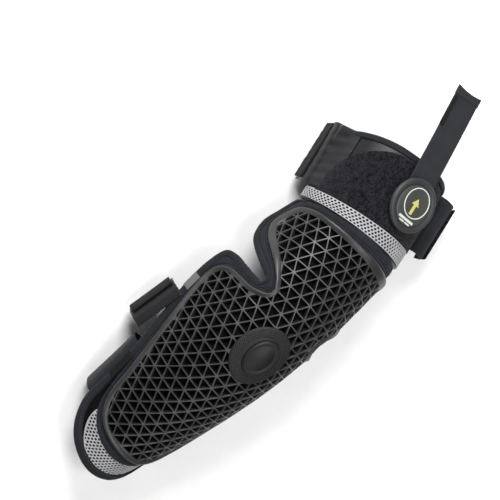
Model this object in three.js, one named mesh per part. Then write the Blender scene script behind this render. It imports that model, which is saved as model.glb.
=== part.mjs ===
// Elbow-and-forearm guard: a moulded lattice shell on a padded fabric body,
// closed round the limb by a wide elastic cuff above the elbow and an elastic
// band on the forearm, with a swivelling strap under a round rubber badge.
//
// Millimetres. +X points along the limb toward the wrist, +Y is the far side
// of the limb, +Z is the outer (elbow) side. The guard lies on Z = 0 with the
// open side of its arch down.

import * as THREE from 'three';

// ---------------------------------------------------------------- dimensions
const DEG = Math.PI / 180;

// limb line: an arch that falls away on both sides of the elbow
const BEND = 23.0 * DEG;          // total angle between the two limb lines
const BEND_CENTRE = -20;          // station of the middle of the bend
const BEND_LENGTH = 70;           // softness of the bend
const PITCH = 0.92 * DEG;         // whole guard tips so both rings touch down
const ORIGIN = [56.7, 3.25, 0.03];          // moves the guard so its box stands centred on the origin
const CENTRE_Z = 46.75;           // height of the section centre at station 0
const CUFF_TURN = 14.0 * DEG;     // the cuff lies turned toward the near side
const TURN_FROM = -104, TURN_TO = -148;   // stations between which it turns

// outer radius of the section along the limb: [station, radius]
const RADII = [[-330, 57], [-217, 57.8], [-180, 58], [-140, 58.2], [-100, 58.5],
  [-50, 59], [0, 59], [30, 58], [60, 56.5], [100, 53.5], [140, 50], [182, 47], [240, 46]];
// angle at which the section stops curving and runs straight down: [station, degrees]
const FLARE = [[-330, 90], [-118, 90], [-85, 74], [-40, 62], [30, 61], [100, 62], [182, 68], [240, 68]];
const CUFF_LEG = 8;               // straight side of the cuff ring
const RING_CORNER = 14;           // corner radius of the cuff ring
const RING_DEPTH = 22;            // depth of both rings under the section centre

// layers, measured outward from the section radius
const SHELL = [-5.0, 0];
const PAD = [-9.6, -5.7];
const LINING = [-12.3, -11.0];
const SLEEVE = [-5.0, -2.6];
const BINDING = [-5.0, -1.4];
const CUFF_BACKING = [-4.6, -1.6];
const CUFF_LINING = [-6.1, -4.9];
const LOOP = [-1.1, 0.8];
const MESH = [-4.4, -2.8];
const BAND_THICK = 1.8;
const GAP = 0.35;                 // clearance left between neighbouring pieces

// stations
const SPLIT = -40;                // flex line across the shell
const SPLIT_GAP = 1.5;            // half width of the gap at the flex line
const CUFF_END = -217;
const BADGE_AT = [-178.5, 7.7];    // station, arc to the far side
const BADGE_R = 25.5;
const RING_AT = [3.4, -1.5];      // centre of the thin ring on the badge face
const BOSS_A = 16.5, BOSS_B = 13.5, DISC_R = 26;
const STRAP_W = 30;               // elastic webbing width
const STRAP_T = 1.8;
const STRAP_LEN = 116;            // badge centre to strap tip
const STRAP_ANGLE = 5 * DEG;      // swing of the strap off the cuff's line
const FOLD_AT = 31;               // badge centre to the fold line of the strap

// outlines of the near half as [station, degrees round the section]
const F_SHELL = [[SPLIT + SPLIT_GAP, 33], [-27, 50], [-25.5, 68], [-24.5, 80], [-19, 88], [-8, 90], [15, 86],
  [38, 79], [70, 69], [96, 60], [116, 54], [130, 45], [138, 33], [141.5, 18], [142.5, 0]];
const F_EDGE = [[SPLIT + SPLIT_GAP, 52], [-39.2, 61], [-40, 74], [-41, 90], [-37, 101], [-16, 105], [13, 102],
  [36, 96], [68, 88], [97, 81], [124, 78], [146, 75], [162, 61], [175, 36], [181, 0]];
const F_MESH = [[116, 66], [124, 63], [136, 56], [146.5, 42], [153, 24], [156, 0]]; // stations 9..14
const U_SHELL = [[SPLIT - SPLIT_GAP, 33], [-58, 50], [-67, 66], [-75, 80], [-85, 88], [-97, 87], [-109, 79],
  [-115.5, 64], [-117, 45], [-117.5, 22], [-118, 0]];
const U_SLEEVE = [[SPLIT - SPLIT_GAP, 42], [-49, 54], [-57.5, 74], [-67, 90], [-82, 98], [-100, 98], [-122, 93],
  [-130, 72], [-132, 48], [-133, 23], [-133.5, 0]];
const U_BIND = [[SPLIT - SPLIT_GAP, 46.5], [-45, 56], [-52.5, 77], [-63, 95], [-80, 103.5], [-100, 103.5], [-124, 97.5]];

// ---------------------------------------------------------------- the limb surface
function table(rows, x) {
  if (x <= rows[0][0]) return rows[0][1];
  for (let i = 1; i < rows.length; i++) {
    if (x <= rows[i][0]) {
      const [a, b] = rows[i - 1], [c, d] = rows[i];
      return b + (d - b) * (x - a) / (c - a);
    }
  }
  return rows[rows.length - 1][1];
}
const slope = (s) => PITCH + 0.5 * BEND * Math.tanh((s - BEND_CENTRE) / BEND_LENGTH);
const turn = (s) => {
  const t = Math.min(Math.max((TURN_FROM - s) / (TURN_FROM - TURN_TO), 0), 1);
  return CUFF_TURN * t * t * (3 - 2 * t);
};
const LINE = (() => {
  const pts = new Map();
  let x = 0, y = 0, z = 0;
  pts.set(0, [0, 0, 0]);
  for (let s = 0; s < 260; s++) {
    const m = slope(s + 0.5), w = turn(s + 0.5);
    x += Math.cos(m) * Math.cos(w); y += Math.cos(m) * Math.sin(w); z -= Math.sin(m);
    pts.set(s + 1, [x, y, z]);
  }
  x = 0; y = 0; z = 0;
  for (let s = 0; s > -360; s--) {
    const m = slope(s - 0.5), w = turn(s - 0.5);
    x -= Math.cos(m) * Math.cos(w); y -= Math.cos(m) * Math.sin(w); z += Math.sin(m);
    pts.set(s - 1, [x, y, z]);
  }
  return pts;
})();
function centre(s) {
  const a = Math.floor(s), f = s - a;
  const p = LINE.get(a), q = LINE.get(a + 1);
  return [p[0] + (q[0] - p[0]) * f, p[1] + (q[1] - p[1]) * f, CENTRE_Z + p[2] + (q[2] - p[2]) * f];
}
const radius = (s) => table(RADII, s);
const arc = (s, degrees) => radius(s) * degrees * DEG;

// point and outward normal of the section outline at arc y (signed, + far side)
function section(s, y) {
  const R = radius(s), ta = table(FLARE, s) * DEG, a = Math.abs(y), g = y < 0 ? -1 : 1;
  let lat, up, nl, nu;
  if (a <= R * ta) {
    const t = a / R;
    lat = R * Math.sin(t); up = R * Math.cos(t); nl = Math.sin(t); nu = Math.cos(t);
  } else {
    const L = a - R * ta;
    lat = R * Math.sin(ta) + L * Math.cos(ta);
    up = R * Math.cos(ta) - L * Math.sin(ta);
    nl = Math.sin(ta); nu = Math.cos(ta);
  }
  return [g * lat, up, g * nl, nu];
}
function place(s, lat, up) {
  const [cx, cy, cz] = centre(s), m = slope(s), w = turn(s), h = up * Math.sin(m);
  return [cx + h * Math.cos(w) - lat * Math.sin(w), cy + h * Math.sin(w) + lat * Math.cos(w), cz + up * Math.cos(m)];
}
function onLimb(s, y, r) {
  const [lat, up, nl, nu] = section(s, y);
  return place(s, lat + nl * r, up + nu * r);
}

// ---------------------------------------------------------------- solids
function outward(geometry) {
  const p = geometry.attributes.position, idx = geometry.index;
  const n = idx ? idx.count : p.count, at = (i) => (idx ? idx.getX(i) : i);
  const a = new THREE.Vector3(), b = new THREE.Vector3(), c = new THREE.Vector3();
  let vol = 0;
  for (let i = 0; i < n; i += 3) {
    a.fromBufferAttribute(p, at(i)); b.fromBufferAttribute(p, at(i + 1)); c.fromBufferAttribute(p, at(i + 2));
    vol += a.dot(b.cross(c));
  }
  if (vol < 0 && idx) {
    for (let i = 0; i < n; i += 3) {
      const t = idx.getX(i); idx.setX(i, idx.getX(i + 1)); idx.setX(i + 1, t);
    }
  }
  geometry.computeVertexNormals();
  return geometry;
}
// a box whose vertices are carried to shape(u, v, w), each 0..1
function warped(nu, nv, nw, shape) {
  const g = new THREE.BoxGeometry(1, 1, 1, nu, nv, nw), p = g.attributes.position;
  for (let i = 0; i < p.count; i++) {
    const q = shape(p.getX(i) + 0.5, p.getY(i) + 0.5, p.getZ(i) + 0.5);
    p.setXYZ(i, q[0], q[1], q[2]);
  }
  return outward(g);
}
const lerp = (a, b, t) => a + (b - a) * t;
function smoothCurve(rows) {           // rows of [station, arc]
  return new THREE.CatmullRomCurve3(rows.map(([s, y]) => new THREE.Vector3(s, y, 0)), false, 'centripetal');
}
// both halves of an outline given for the near side, near end first
function mirrored(rows) {
  const near = rows.map(([s, d]) => [s, -arc(s, d)]);
  const far = rows.slice(0, rows[rows.length - 1][1] === 0 ? -1 : undefined).reverse().map(([s, d]) => [s, arc(s, d)]);
  return near.concat(far);
}
// the outline moved sideways by d (positive away from the middle of the guard)
function offsetRows(rows, d, toWrist, keepEnds = false) {
  const c = smoothCurve(rows), n = rows.length - 1;
  return rows.map((_, i) => {
    const t = c.getTangent(i / n);
    const side = toWrist ? 1 : -1;
    if (keepEnds && (i === 0 || i === n)) return [rows[i][0], rows[i][1] + Math.sign(rows[i][1]) * d / Math.abs(t.x)];
    return [rows[i][0] + side * t.y * d, rows[i][1] - side * t.x * d];
  });
}
// the sheet between two outlines that share their parameter
function between(inner, outer, layer, n, across, from = 0, to = 1) {
  const a = smoothCurve(inner), b = smoothCurve(outer);
  return warped(n, across, 1, (u, v, w) => {
    const t = lerp(from, to, u), p = a.getPoint(t), q = b.getPoint(t);
    return onLimb(lerp(p.x, q.x, v), lerp(p.y, q.y, v), lerp(layer[0], layer[1], w));
  });
}
// the area inside an outline symmetric about the crown, from station s0 to s1
function area(rows, s0, s1, layer, ns, nv, power = 1.6) {
  const c = smoothCurve(rows.map(([s, d]) => [s, arc(s, d)]));
  const samples = Array.from({ length: 401 }, (_, i) => { const p = c.getPoint(i / 400); return [p.x, p.y]; });
  if (samples[0][0] > samples[400][0]) samples.reverse();
  const half = (s) => table(samples, s);
  return warped(ns, nv, 1, (u, v, w) => {
    const s = lerp(s0, s1, Math.pow(u, power));
    return onLimb(s, (2 * v - 1) * half(s), lerp(layer[0], layer[1], w));
  });
}
// the area inside a mirrored outline, on the same stations as a border of n segments round it
function fill(rows, layer, n, across) {
  const c = smoothCurve(rows), last = n / 2 - 1;
  return warped(last, across, 1, (u, v, w) => {
    const p = c.getPoint(Math.round(u * last) / n);
    return onLimb(p.x, p.y * (1 - 2 * v), lerp(layer[0], layer[1], w));
  });
}
// a patch on the surface bounded by two station functions and two arc functions
function patch(sA, sB, yA, yB, layer, ns, nv) {
  return warped(ns, nv, 1, (u, v, w) => {
    const s0 = lerp(sA(0), sB(0), u);
    const y = lerp(yA(s0), yB(s0), v), s = lerp(sA(y), sB(y), u);
    return onLimb(s, y, lerp(layer[0], layer[1], w));
  });
}
// a strip whose cross-section outline is given in the section plane, as [lateral, up]
function ribbon(path, sFrom, sTo, half, n, ns) {
  return warped(ns, n, 1, (u, v, w) => {
    const c = new THREE.CatmullRomCurve3(path(lerp(sFrom(0), sTo(0), u)).map(([a, b]) => new THREE.Vector3(a, b, 0)), false, 'centripetal');
    const p = c.getPointAt(v), t = c.getTangentAt(v), r = lerp(-half, half, w);
    return place(lerp(sFrom(v), sTo(v), u), p.x - t.y * r, p.y + t.x * r);
  });
}
// a round piece on the limb surface, centred at [station, arc]
function button(at, ra, rb, rows, seg) {
  const g = new THREE.LatheGeometry(rows.map(([q, h]) => new THREE.Vector2(q, h)), seg);
  const p = g.attributes.position;
  for (let i = 0; i < p.count; i++) {
    const q = onLimb(at[0] + p.getX(i) * ra, at[1] + p.getZ(i) * rb, p.getY(i));
    p.setXYZ(i, q[0], q[1], q[2]);
  }
  return outward(g);
}

// ---------------------------------------------------------------- assembly
const guard = new THREE.Group();
function add(name, geometry, colour, roughness = 0.8, metalness = 0) {
  const mesh = new THREE.Mesh(geometry, new THREE.MeshStandardMaterial({ color: colour, roughness, metalness }));
  mesh.name = name;
  guard.add(mesh);
  return mesh;
}
const RUBBER = 0x26282a, FABRIC = 0x2a2f35, FOAM = 0x3a3c3e, LINER = 0x4a4d50, BLACK = 0x17181a,
  SILVER = 0xb9bdc0, ELASTIC = 0x33363a, BAND = 0x2b2e31;

// --- forearm body -----------------------------------------------------------
const fShell = mirrored(F_SHELL), fEdge = mirrored(F_EDGE);
// outer boundary of the padded border: the binding's inner edge, or the mesh boundary round the wrist end
const fBindIn = offsetRows(fEdge, -6, true);
const fSleeveOut = fBindIn.map((row, i) => {
  const j = Math.min(i, fEdge.length - 1 - i);
  if (j < 9) return [row[0], row[1]];
  const k = j - 9, m = F_MESH[k], sgn = i <= 14 ? -1 : 1;
  return j === 9 ? [row[0], row[1]] : [m[0], sgn * arc(m[0], m[1])];
});
const fRimIn = offsetRows(fShell, GAP, true, true), fRimOut = offsetRows(fShell, 4.4, true, true);
const fSleeveIn = offsetRows(fShell, 4.4 + GAP, true, true);

add('forearm_shell', fill(fShell, SHELL, 56, 14), RUBBER, 0.62);
add('forearm_shell_rim', between(fRimIn, fRimOut, [-5.0, 1.6], 56, 1), 0x3c3f42, 0.5);
add('forearm_sleeve', between(fSleeveIn, fSleeveOut, SLEEVE, 56, 1), FABRIC, 0.9);
add('wrist_mesh_panel', (() => {
  const inner = offsetRows(fSleeveOut, GAP, true), outer = offsetRows(fBindIn, -GAP, true);
  return between(inner, outer, MESH, 24, 1, 9.6 / 28, 18.4 / 28);
})(), SILVER, 0.7);
add('forearm_edge_binding', between(offsetRows(fBindIn, 2 * GAP, true), fEdge, BINDING, 56, 1), BLACK, 0.85);
const F_PAD = [[SPLIT + SPLIT_GAP, 36], [-30, 50], [-27, 68], [-25, 84], [-8, 91], [15, 88], [38, 81], [70, 71],
  [96, 63], [116, 58], [130, 52], [144, 42], [154, 28], [160, 14]];
add('forearm_pad', area(F_PAD, SPLIT + SPLIT_GAP, 160, PAD, 14, 16), FOAM, 0.95);
add('forearm_lining', area(F_PAD, SPLIT + SPLIT_GAP, 160, LINING, 14, 16), LINER, 0.95);
add('elbow_cap_disc', button([0, 0], 1, 1, [[0, 0.7], [DISC_R * 0.5, 0.7], [DISC_R, 0.7], [DISC_R, 1.4], [DISC_R * 0.62, 1.8], [0, 1.8]], 28), 0x1b1c1e, 0.6);
add('elbow_boss', button([0, 0], BOSS_A / 15, BOSS_B / 15, [[0, 2.3], [8, 2.3], [15, 2.3], [15, 4.0], [13.6, 5.2], [11.4, 5.2], [10.6, 4.6], [6, 5.4], [0, 5.8]], 28), 0x303234, 0.5);

// elastic band under the forearm, sewn to both edges
const borderArc = (s) => arc(s, table(F_EDGE.slice(5, 9), s));
const edgeArc = (s) => {
  const c = table(F_EDGE.slice(6, 12), s);
  return arc(s, c) + 1.4;
};
const forearmRing = (s) => {
  const [lat, up, nl, nu] = section(s, edgeArc(s));
  const y = lat - nl * 3.4, z = up - nu * 3.4;
  return [[-y, z], [-y - 1.5, z - 6], [-y + 5, -18.5], [-y + 15, -RING_DEPTH], [-(y - 15) / 2, -RING_DEPTH], [0, -RING_DEPTH],
    [(y - 15) / 2, -RING_DEPTH], [y - 15, -RING_DEPTH], [y - 5, -18.5], [y + 1.5, z - 6], [y, z]];
};
add('forearm_elastic_band', ribbon(forearmRing, () => 78, () => 140, BAND_THICK / 2, 28, 2), BAND, 0.9);

// closure tab of the forearm band, standing off the near edge
const F_TAB = [20, 70];
const fTabPath = () => [[-68.9, -4.8], [-70.8, -8], [-72.6, -13], [-73.4, -20], [-72.4, -26]];
add('forearm_tab_elastic', ribbon(fTabPath, () => F_TAB[0], () => F_TAB[1], 0.9, 10, 3), ELASTIC, 0.85);
add('forearm_tab_hook', ribbon(() => [[-75.5, -13.6], [-76.2, -20], [-75.3, -26]], () => F_TAB[0] + 2, () => F_TAB[1] - 2, 1.1, 5, 3), BLACK, 0.95);

// sewn labels on the near border
add('side_label', patch(() => 88, () => 114, (s) => -edgeArc(s) + 2.6, (s) => -edgeArc(s) + 14.2, [-1.0, -0.2], 3, 2), 0x101112, 0.7);
add('woven_label', patch(() => -2, () => 14, (s) => -borderArc(s) + 1.2, (s) => -borderArc(s) + 9.2, [-1.0, -0.2], 3, 2), 0x9a9da0, 0.8);

// --- upper body (root) ------------------------------------------------------
const uShell = mirrored(U_SHELL), uSleeveOut = mirrored(U_SLEEVE);
add('upper_shell', fill(uShell, SHELL, 40, 14), RUBBER, 0.62);
add('upper_shell_rim', between(offsetRows(uShell, GAP, false, true), offsetRows(uShell, 4.4, false, true), [-5.0, 1.6], 40, 1), 0x3c3f42, 0.5);
add('upper_sleeve', between(offsetRows(uShell, 4.4 + GAP, false, true), uSleeveOut, SLEEVE, 40, 1), FABRIC, 0.9);
for (const [name, g] of [['upper_edge_binding_near', -1], ['upper_edge_binding_far', 1]]) {
  const inner = U_SLEEVE.slice(0, 7).map(([s, d]) => [s, g * arc(s, d)]);
  const outer = U_BIND.map(([s, d]) => [s, g * arc(s, d)]);
  const off = g < 0 ? offsetRows(inner, 1.6, false) : inner.map(([s, y], i) => {
    const q = offsetRows(inner.map(([a, b]) => [a, -b]), 1.6, false)[i];
    return [q[0], -q[1]];
  });
  add(name, between(off, outer, BINDING, 18, 1), BLACK, 0.85);
}
const U_PAD = [[SPLIT - SPLIT_GAP, 35], [-56, 51], [-65, 68], [-74, 84], [-86, 89], [-108, 89], [-130, 87]];
add('upper_pad', area(U_PAD, SPLIT - SPLIT_GAP, -130, PAD, 12, 16), FOAM, 0.95);
add('upper_lining', area(U_PAD, SPLIT - SPLIT_GAP, -130, LINING, 9, 16), LINER, 0.95);

add('upper_mesh_band', patch(() => -134.1, () => -146, (s) => -arc(s, 90) - 4, (s) => arc(s, 90) + 4, [-1.1, 0], 1, 20), SILVER, 0.7);
const loopEnd = (y) => CUFF_END + 4 + 26 * Math.pow(Math.max(0, Math.abs(y) - 24) / 66, 1.6);
add('upper_loop_panel', patch(() => -146.4, loopEnd, (s) => -arc(s, 88), (s) => arc(s, 80), LOOP, 5, 20), 0x111214, 1.0);
const cuffEnd = (y) => CUFF_END + 10 * Math.pow(Math.max(0, Math.abs(y) - 24) / 66, 1.6);
add('cuff_backing', patch(() => -134.1, cuffEnd, (s) => -arc(s, 90) - CUFF_LEG, (s) => arc(s, 90) + CUFF_LEG, CUFF_BACKING, 4, 24), ELASTIC, 0.9);
add('cuff_lining', patch(() => -134.1, cuffEnd, (s) => -arc(s, 90) - CUFF_LEG, (s) => arc(s, 90) + CUFF_LEG, CUFF_LINING, 4, 24), LINER, 0.95);
add('cuff_end_binding', patch((y) => cuffEnd(y) - GAP, (y) => cuffEnd(y) - 4.5, (s) => -arc(s, 90) - CUFF_LEG, (s) => arc(s, 90) + CUFF_LEG, [-6.1, 0.4], 1, 24), BLACK, 0.85);

// elastic under the arm, closing the cuff ring
const cuffRing = (s) => {
  const R = radius(s) - 3, lo = -CUFF_LEG - GAP, c = RING_CORNER;
  const pts = [];
  for (let i = 0; i <= 5; i++) {
    const f = i / 5 * Math.PI / 2;
    pts.push([-(R - c + c * Math.cos(f)), lo - (RING_DEPTH - CUFF_LEG - GAP) * Math.sin(f)]);
  }
  for (const k of [0.5, 0, -0.5]) pts.push([-(R - c) * k, -RING_DEPTH]);
  for (let i = 5; i >= 0; i--) {
    const f = i / 5 * Math.PI / 2;
    pts.push([R - c + c * Math.cos(f), lo - (RING_DEPTH - CUFF_LEG - GAP) * Math.sin(f)]);
  }
  return pts;
};
add('cuff_elastic', ribbon(cuffRing, () => -208, () => -150, BAND_THICK / 2, 28, 2), ELASTIC, 0.9);

// wide closure wing on the near side with its hook tab, and the flap on the far side
const U_TAB = [-149, -211];
const wing = () => [[-60.9, 3], [-63.0, -1], [-64.2, -6], [-63.2, -12], [-62.4, -17], [-62.0, -22]];
add('upper_closure_elastic', ribbon(wing, () => U_TAB[0], () => U_TAB[1], 0.9, 14, 2), ELASTIC, 0.8);
add('upper_closure_hook', ribbon(() => [[-67.2, -7.5], [-66.4, -13], [-65.4, -21]], () => U_TAB[0] - 2, () => U_TAB[1] + 2, 1.2, 5, 2), BLACK, 0.95);
const farFlap = () => [[60.9, 10], [66, 13], [73.5, 12], [80.5, 7.5], [84, 0], [84.5, -9]];
add('rear_flap', ribbon(farFlap, () => -155, () => -214, 1.2, 12, 3), ELASTIC, 0.9);
add('rear_flap_hook', ribbon(() => [[83.7, 8.8], [87.4, 0], [88, -8.4]], () => -157, () => -212, 1.1, 5, 3), BLACK, 0.9);

// --- badge and strap, flat in the plane touching the cuff at the badge -------
const badge = new THREE.Group();
{
  const o = onLimb(BADGE_AT[0], BADGE_AT[1], 0);
  const up = new THREE.Vector3(...onLimb(BADGE_AT[0], BADGE_AT[1], 10)).sub(new THREE.Vector3(...o)).normalize();
  const a = new THREE.Vector3(...onLimb(BADGE_AT[0] - 1, BADGE_AT[1], 0)), b = new THREE.Vector3(...onLimb(BADGE_AT[0] + 1, BADGE_AT[1], 0));
  const out = a.sub(b).normalize();              // toward the open end of the cuff
  const side = new THREE.Vector3().crossVectors(up, out).normalize();
  out.crossVectors(side, up).normalize();
  badge.matrixAutoUpdate = false;
  badge.matrix.makeBasis(out, side, up).setPosition(o[0], o[1], o[2]);
}
guard.add(badge);
function addTo(group, name, geometry, colour, roughness = 0.8) {
  const m = new THREE.Mesh(geometry, new THREE.MeshStandardMaterial({ color: colour, roughness, metalness: 0 }));
  m.name = name;
  group.add(m);
  return m;
}
function lathe(rows, seg) {
  const g = new THREE.LatheGeometry(rows.map(([q, h]) => new THREE.Vector2(q, h)), seg);
  g.rotateX(Math.PI / 2);
  return outward(g);
}
const S0 = 1.2, S1 = S0 + STRAP_T;               // underside and top of the strap
addTo(badge, 'swivel_stud', lathe([[0, 1.0], [3, 1.0], [3, S1 + 0.2], [0, S1 + 0.2]], 20), 0x8c8f92, 0.4);
addTo(badge, 'badge_base', lathe([[0, S1 + 0.5], [BADGE_R - 1, S1 + 0.5], [BADGE_R, S1 + 1.2], [BADGE_R, S1 + 3.6],
  [BADGE_R - 1.6, S1 + 4.8], [BADGE_R - 4.4, S1 + 4.8], [BADGE_R - 5.6, S1 + 3.2], [0, S1 + 3.2]], 36), 0x1d1e20, 0.55);
addTo(badge, 'badge_face', lathe([[0, S1 + 3.5], [BADGE_R - 6.2, S1 + 3.5], [BADGE_R - 6.2, S1 + 4.1], [0, S1 + 4.1]], 28), 0x232527, 0.45);
addTo(badge, 'badge_ring', (() => {
  const g = lathe([[13.6, 0], [14.6, 0], [14.6, 0.35], [13.6, 0.35], [13.6, 0]], 28);
  g.translate(RING_AT[0], RING_AT[1], S1 + 4.4);
  return g;
})(), 0xd9dbd8, 0.5);
addTo(badge, 'badge_emblem', (() => {
  const sh = new THREE.Shape();
  sh.moveTo(-8.5, -1.6); sh.lineTo(1.0, -1.6); sh.lineTo(1.0, -4.6); sh.lineTo(7.5, 0); sh.lineTo(1.0, 4.6); sh.lineTo(1.0, 1.6); sh.lineTo(-8.5, 1.6); sh.closePath();
  const g = new THREE.ExtrudeGeometry(sh, { depth: 0.35, bevelEnabled: false, curveSegments: 4 });
  g.translate(0, -0.7, S1 + 4.4);
  return g;
})(), 0xb79a3a, 0.5);

const swing = new THREE.Group();
swing.rotation.z = STRAP_ANGLE;
badge.add(swing);
function strapPlate(outline, hole, z0, z1) {
  const sh = new THREE.Shape(outline.map(([x, y]) => new THREE.Vector2(x, y)));
  if (hole) sh.holes.push(new THREE.Path().absarc(0, 0, hole, 0, Math.PI * 2, true));
  const g = new THREE.ExtrudeGeometry(sh, { depth: z1 - z0, bevelEnabled: false, curveSegments: 10 });
  g.translate(0, 0, z0);
  g.computeVertexNormals();
  return g;
}
const half = STRAP_W / 2;
const anchor = [];
for (let i = 0; i <= 12; i++) { const t = Math.PI / 2 + i / 12 * Math.PI; anchor.push([19 * Math.cos(t), half * Math.sin(t)]); }
anchor.push([FOLD_AT - 0.4, -half], [FOLD_AT - 0.4, half]);
addTo(swing, 'strap_anchor', strapPlate(anchor, 3.5, S0, S1), ELASTIC, 0.9);
addTo(swing, 'strap_webbing', strapPlate([[FOLD_AT, -half], [STRAP_LEN - 9, -half], [STRAP_LEN - 9, half], [FOLD_AT, half]], 0, S0, S1), ELASTIC, 0.9);
addTo(swing, 'strap_hook_patch', strapPlate([[72, half - 9], [102, half - 9], [102, half], [72, half]], 0, S1 + 0.3, S1 + 1.5), BLACK, 0.95);
addTo(swing, 'strap_tip_hem', strapPlate([[STRAP_LEN - 8.6, -half], [STRAP_LEN, -half - 0.4], [STRAP_LEN, half + 0.4], [STRAP_LEN - 8.6, half]], 0, S0 - 0.8, S1 + 0.8), BLACK, 0.9);

// the origin sits under the middle of the guard's box, on the surface it lies on
guard.position.set(ORIGIN[0], ORIGIN[1], ORIGIN[2]);

export default guard;
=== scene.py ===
# The looks of the elbow-and-forearm guard. Lengths are in millimetres until they are handed to Blender in metres.
import math

import bpy
import bmesh
import numpy as np
from mathutils import Vector, Matrix
from mathutils.geometry import delaunay_2d_cdt

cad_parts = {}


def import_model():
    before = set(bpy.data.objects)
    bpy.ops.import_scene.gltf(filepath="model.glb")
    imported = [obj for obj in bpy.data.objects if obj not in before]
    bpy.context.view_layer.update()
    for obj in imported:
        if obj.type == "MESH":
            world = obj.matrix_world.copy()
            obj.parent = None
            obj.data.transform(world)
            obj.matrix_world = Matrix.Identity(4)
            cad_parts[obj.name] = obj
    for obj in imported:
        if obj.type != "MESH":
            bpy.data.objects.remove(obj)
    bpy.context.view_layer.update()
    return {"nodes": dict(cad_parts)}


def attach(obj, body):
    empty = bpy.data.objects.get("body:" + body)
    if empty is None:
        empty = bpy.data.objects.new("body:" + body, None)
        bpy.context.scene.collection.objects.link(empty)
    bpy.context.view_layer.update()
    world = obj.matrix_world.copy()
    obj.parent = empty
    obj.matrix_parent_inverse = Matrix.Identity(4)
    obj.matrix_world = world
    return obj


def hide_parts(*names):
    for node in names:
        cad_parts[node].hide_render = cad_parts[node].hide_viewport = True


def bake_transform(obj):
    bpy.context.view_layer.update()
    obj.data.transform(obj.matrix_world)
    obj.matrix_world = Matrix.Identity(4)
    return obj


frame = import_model()

MM = 0.001
ORIGIN = np.array([56.7, 3.25, 0.03])
DEG = math.pi / 180
RNG = np.random.default_rng(7)

# ------------------------------------------------------------------ the limb surface, as in the CAD
BEND, BC, BL, PITCH, CZ = 23 * DEG, -20.0, 70.0, 0.92 * DEG, 46.75
TURN, TURN_FROM, TURN_TO = 14 * DEG, -104.0, -148.0        # the cuff lies turned toward the near side
RADII = np.array([[-330, 57], [-217, 57.8], [-180, 58], [-140, 58.2], [-100, 58.5], [-50, 59], [0, 59], [30, 58], [60, 56.5],
                  [100, 53.5], [140, 50], [182, 47], [240, 46]], float)
FLARE = np.array([[-330, 90], [-118, 90], [-85, 74], [-40, 62], [30, 61], [100, 62], [182, 68], [240, 68]], float)


def turn(s):
    t = np.clip((TURN_FROM - np.asarray(s, float)) / (TURN_FROM - TURN_TO), 0, 1)
    return TURN * t * t * (3 - 2 * t)


def slope(s):
    return PITCH + 0.5 * BEND * np.tanh((np.asarray(s, float) - BC) / BL)


_S = np.arange(-360, 261.0)
_m, _w = slope(_S[:-1] + 0.5), turn(_S[:-1] + 0.5)
_X = np.concatenate([[0], np.cumsum(np.cos(_m) * np.cos(_w))])
_Y = np.concatenate([[0], np.cumsum(np.cos(_m) * np.sin(_w))])
_Z = np.concatenate([[0], np.cumsum(-np.sin(_m))])
_X, _Y, _Z = _X - _X[360], _Y - _Y[360], _Z - _Z[360]

F_SHELL = [[-36, 34.5], [-27, 50], [-25.5, 68], [-24.5, 80], [-19, 88], [-8, 90], [15, 86], [38, 79], [70, 69], [96, 60], [116, 54],
           [130, 45], [138, 33], [141.5, 18], [142.5, 0]]
F_EDGE = [[-39.2, 51], [-39.3, 61], [-40, 74], [-41, 90], [-37, 101], [-16, 105], [13, 102], [36, 96], [68, 88], [97, 81], [124, 78],
          [146, 75], [162, 61], [175, 36], [181, 0]]
F_MESH = [[124, 63], [136, 56], [146.5, 42], [153, 24], [156, 0]]
U_SHELL = [[-44.5, 34.5], [-58, 50], [-67, 66], [-75, 80], [-85, 88], [-97, 87], [-109, 79], [-115.5, 64], [-117, 45], [-117.5, 22],
           [-118, 0]]
U_SLEEVE = [[-43.5, 45], [-49, 54], [-57.5, 74], [-67, 90], [-82, 98], [-100, 98], [-122, 93], [-130, 72], [-132, 48], [-133, 23],
            [-133.5, 0]]
U_BIND = [[-42.6, 50.5], [-45, 56], [-52.5, 77], [-63, 95], [-80, 103.5], [-100, 103.5], [-124, 97.5]]


def radius(s):
    return np.interp(s, RADII[:, 0], RADII[:, 1])


def arc(s, d):
    return radius(s) * np.asarray(d) * DEG


def place(s, lat, up):
    s = np.asarray(s, float)
    m, w = slope(s), turn(s)
    h = up * np.sin(m)
    return np.stack([np.interp(s, _S, _X) + h * np.cos(w) - lat * np.sin(w), np.interp(s, _S, _Y) + h * np.sin(w) + lat * np.cos(w),
                     np.interp(s, _S, _Z) + CZ + up * np.cos(m)], -1)


def section(s, y):
    s = np.asarray(s, float)
    y = np.asarray(y, float)
    R = radius(s)
    ta = np.interp(s, FLARE[:, 0], FLARE[:, 1]) * DEG
    a = np.abs(y)
    g = np.where(y < 0, -1.0, 1.0)
    t = np.minimum(a / R, ta)
    L = np.maximum(a - R * ta, 0)
    return g * (R * np.sin(t) + L * np.cos(ta)), R * np.cos(t) - L * np.sin(ta), g * np.sin(t), np.cos(t)


def on(s, y, r=0.0):
    lat, up, nl, nu = section(s, y)
    return place(s, lat + nl * r, up + nu * r)


def world(P):
    return (np.asarray(P, float) + ORIGIN) * MM


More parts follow.
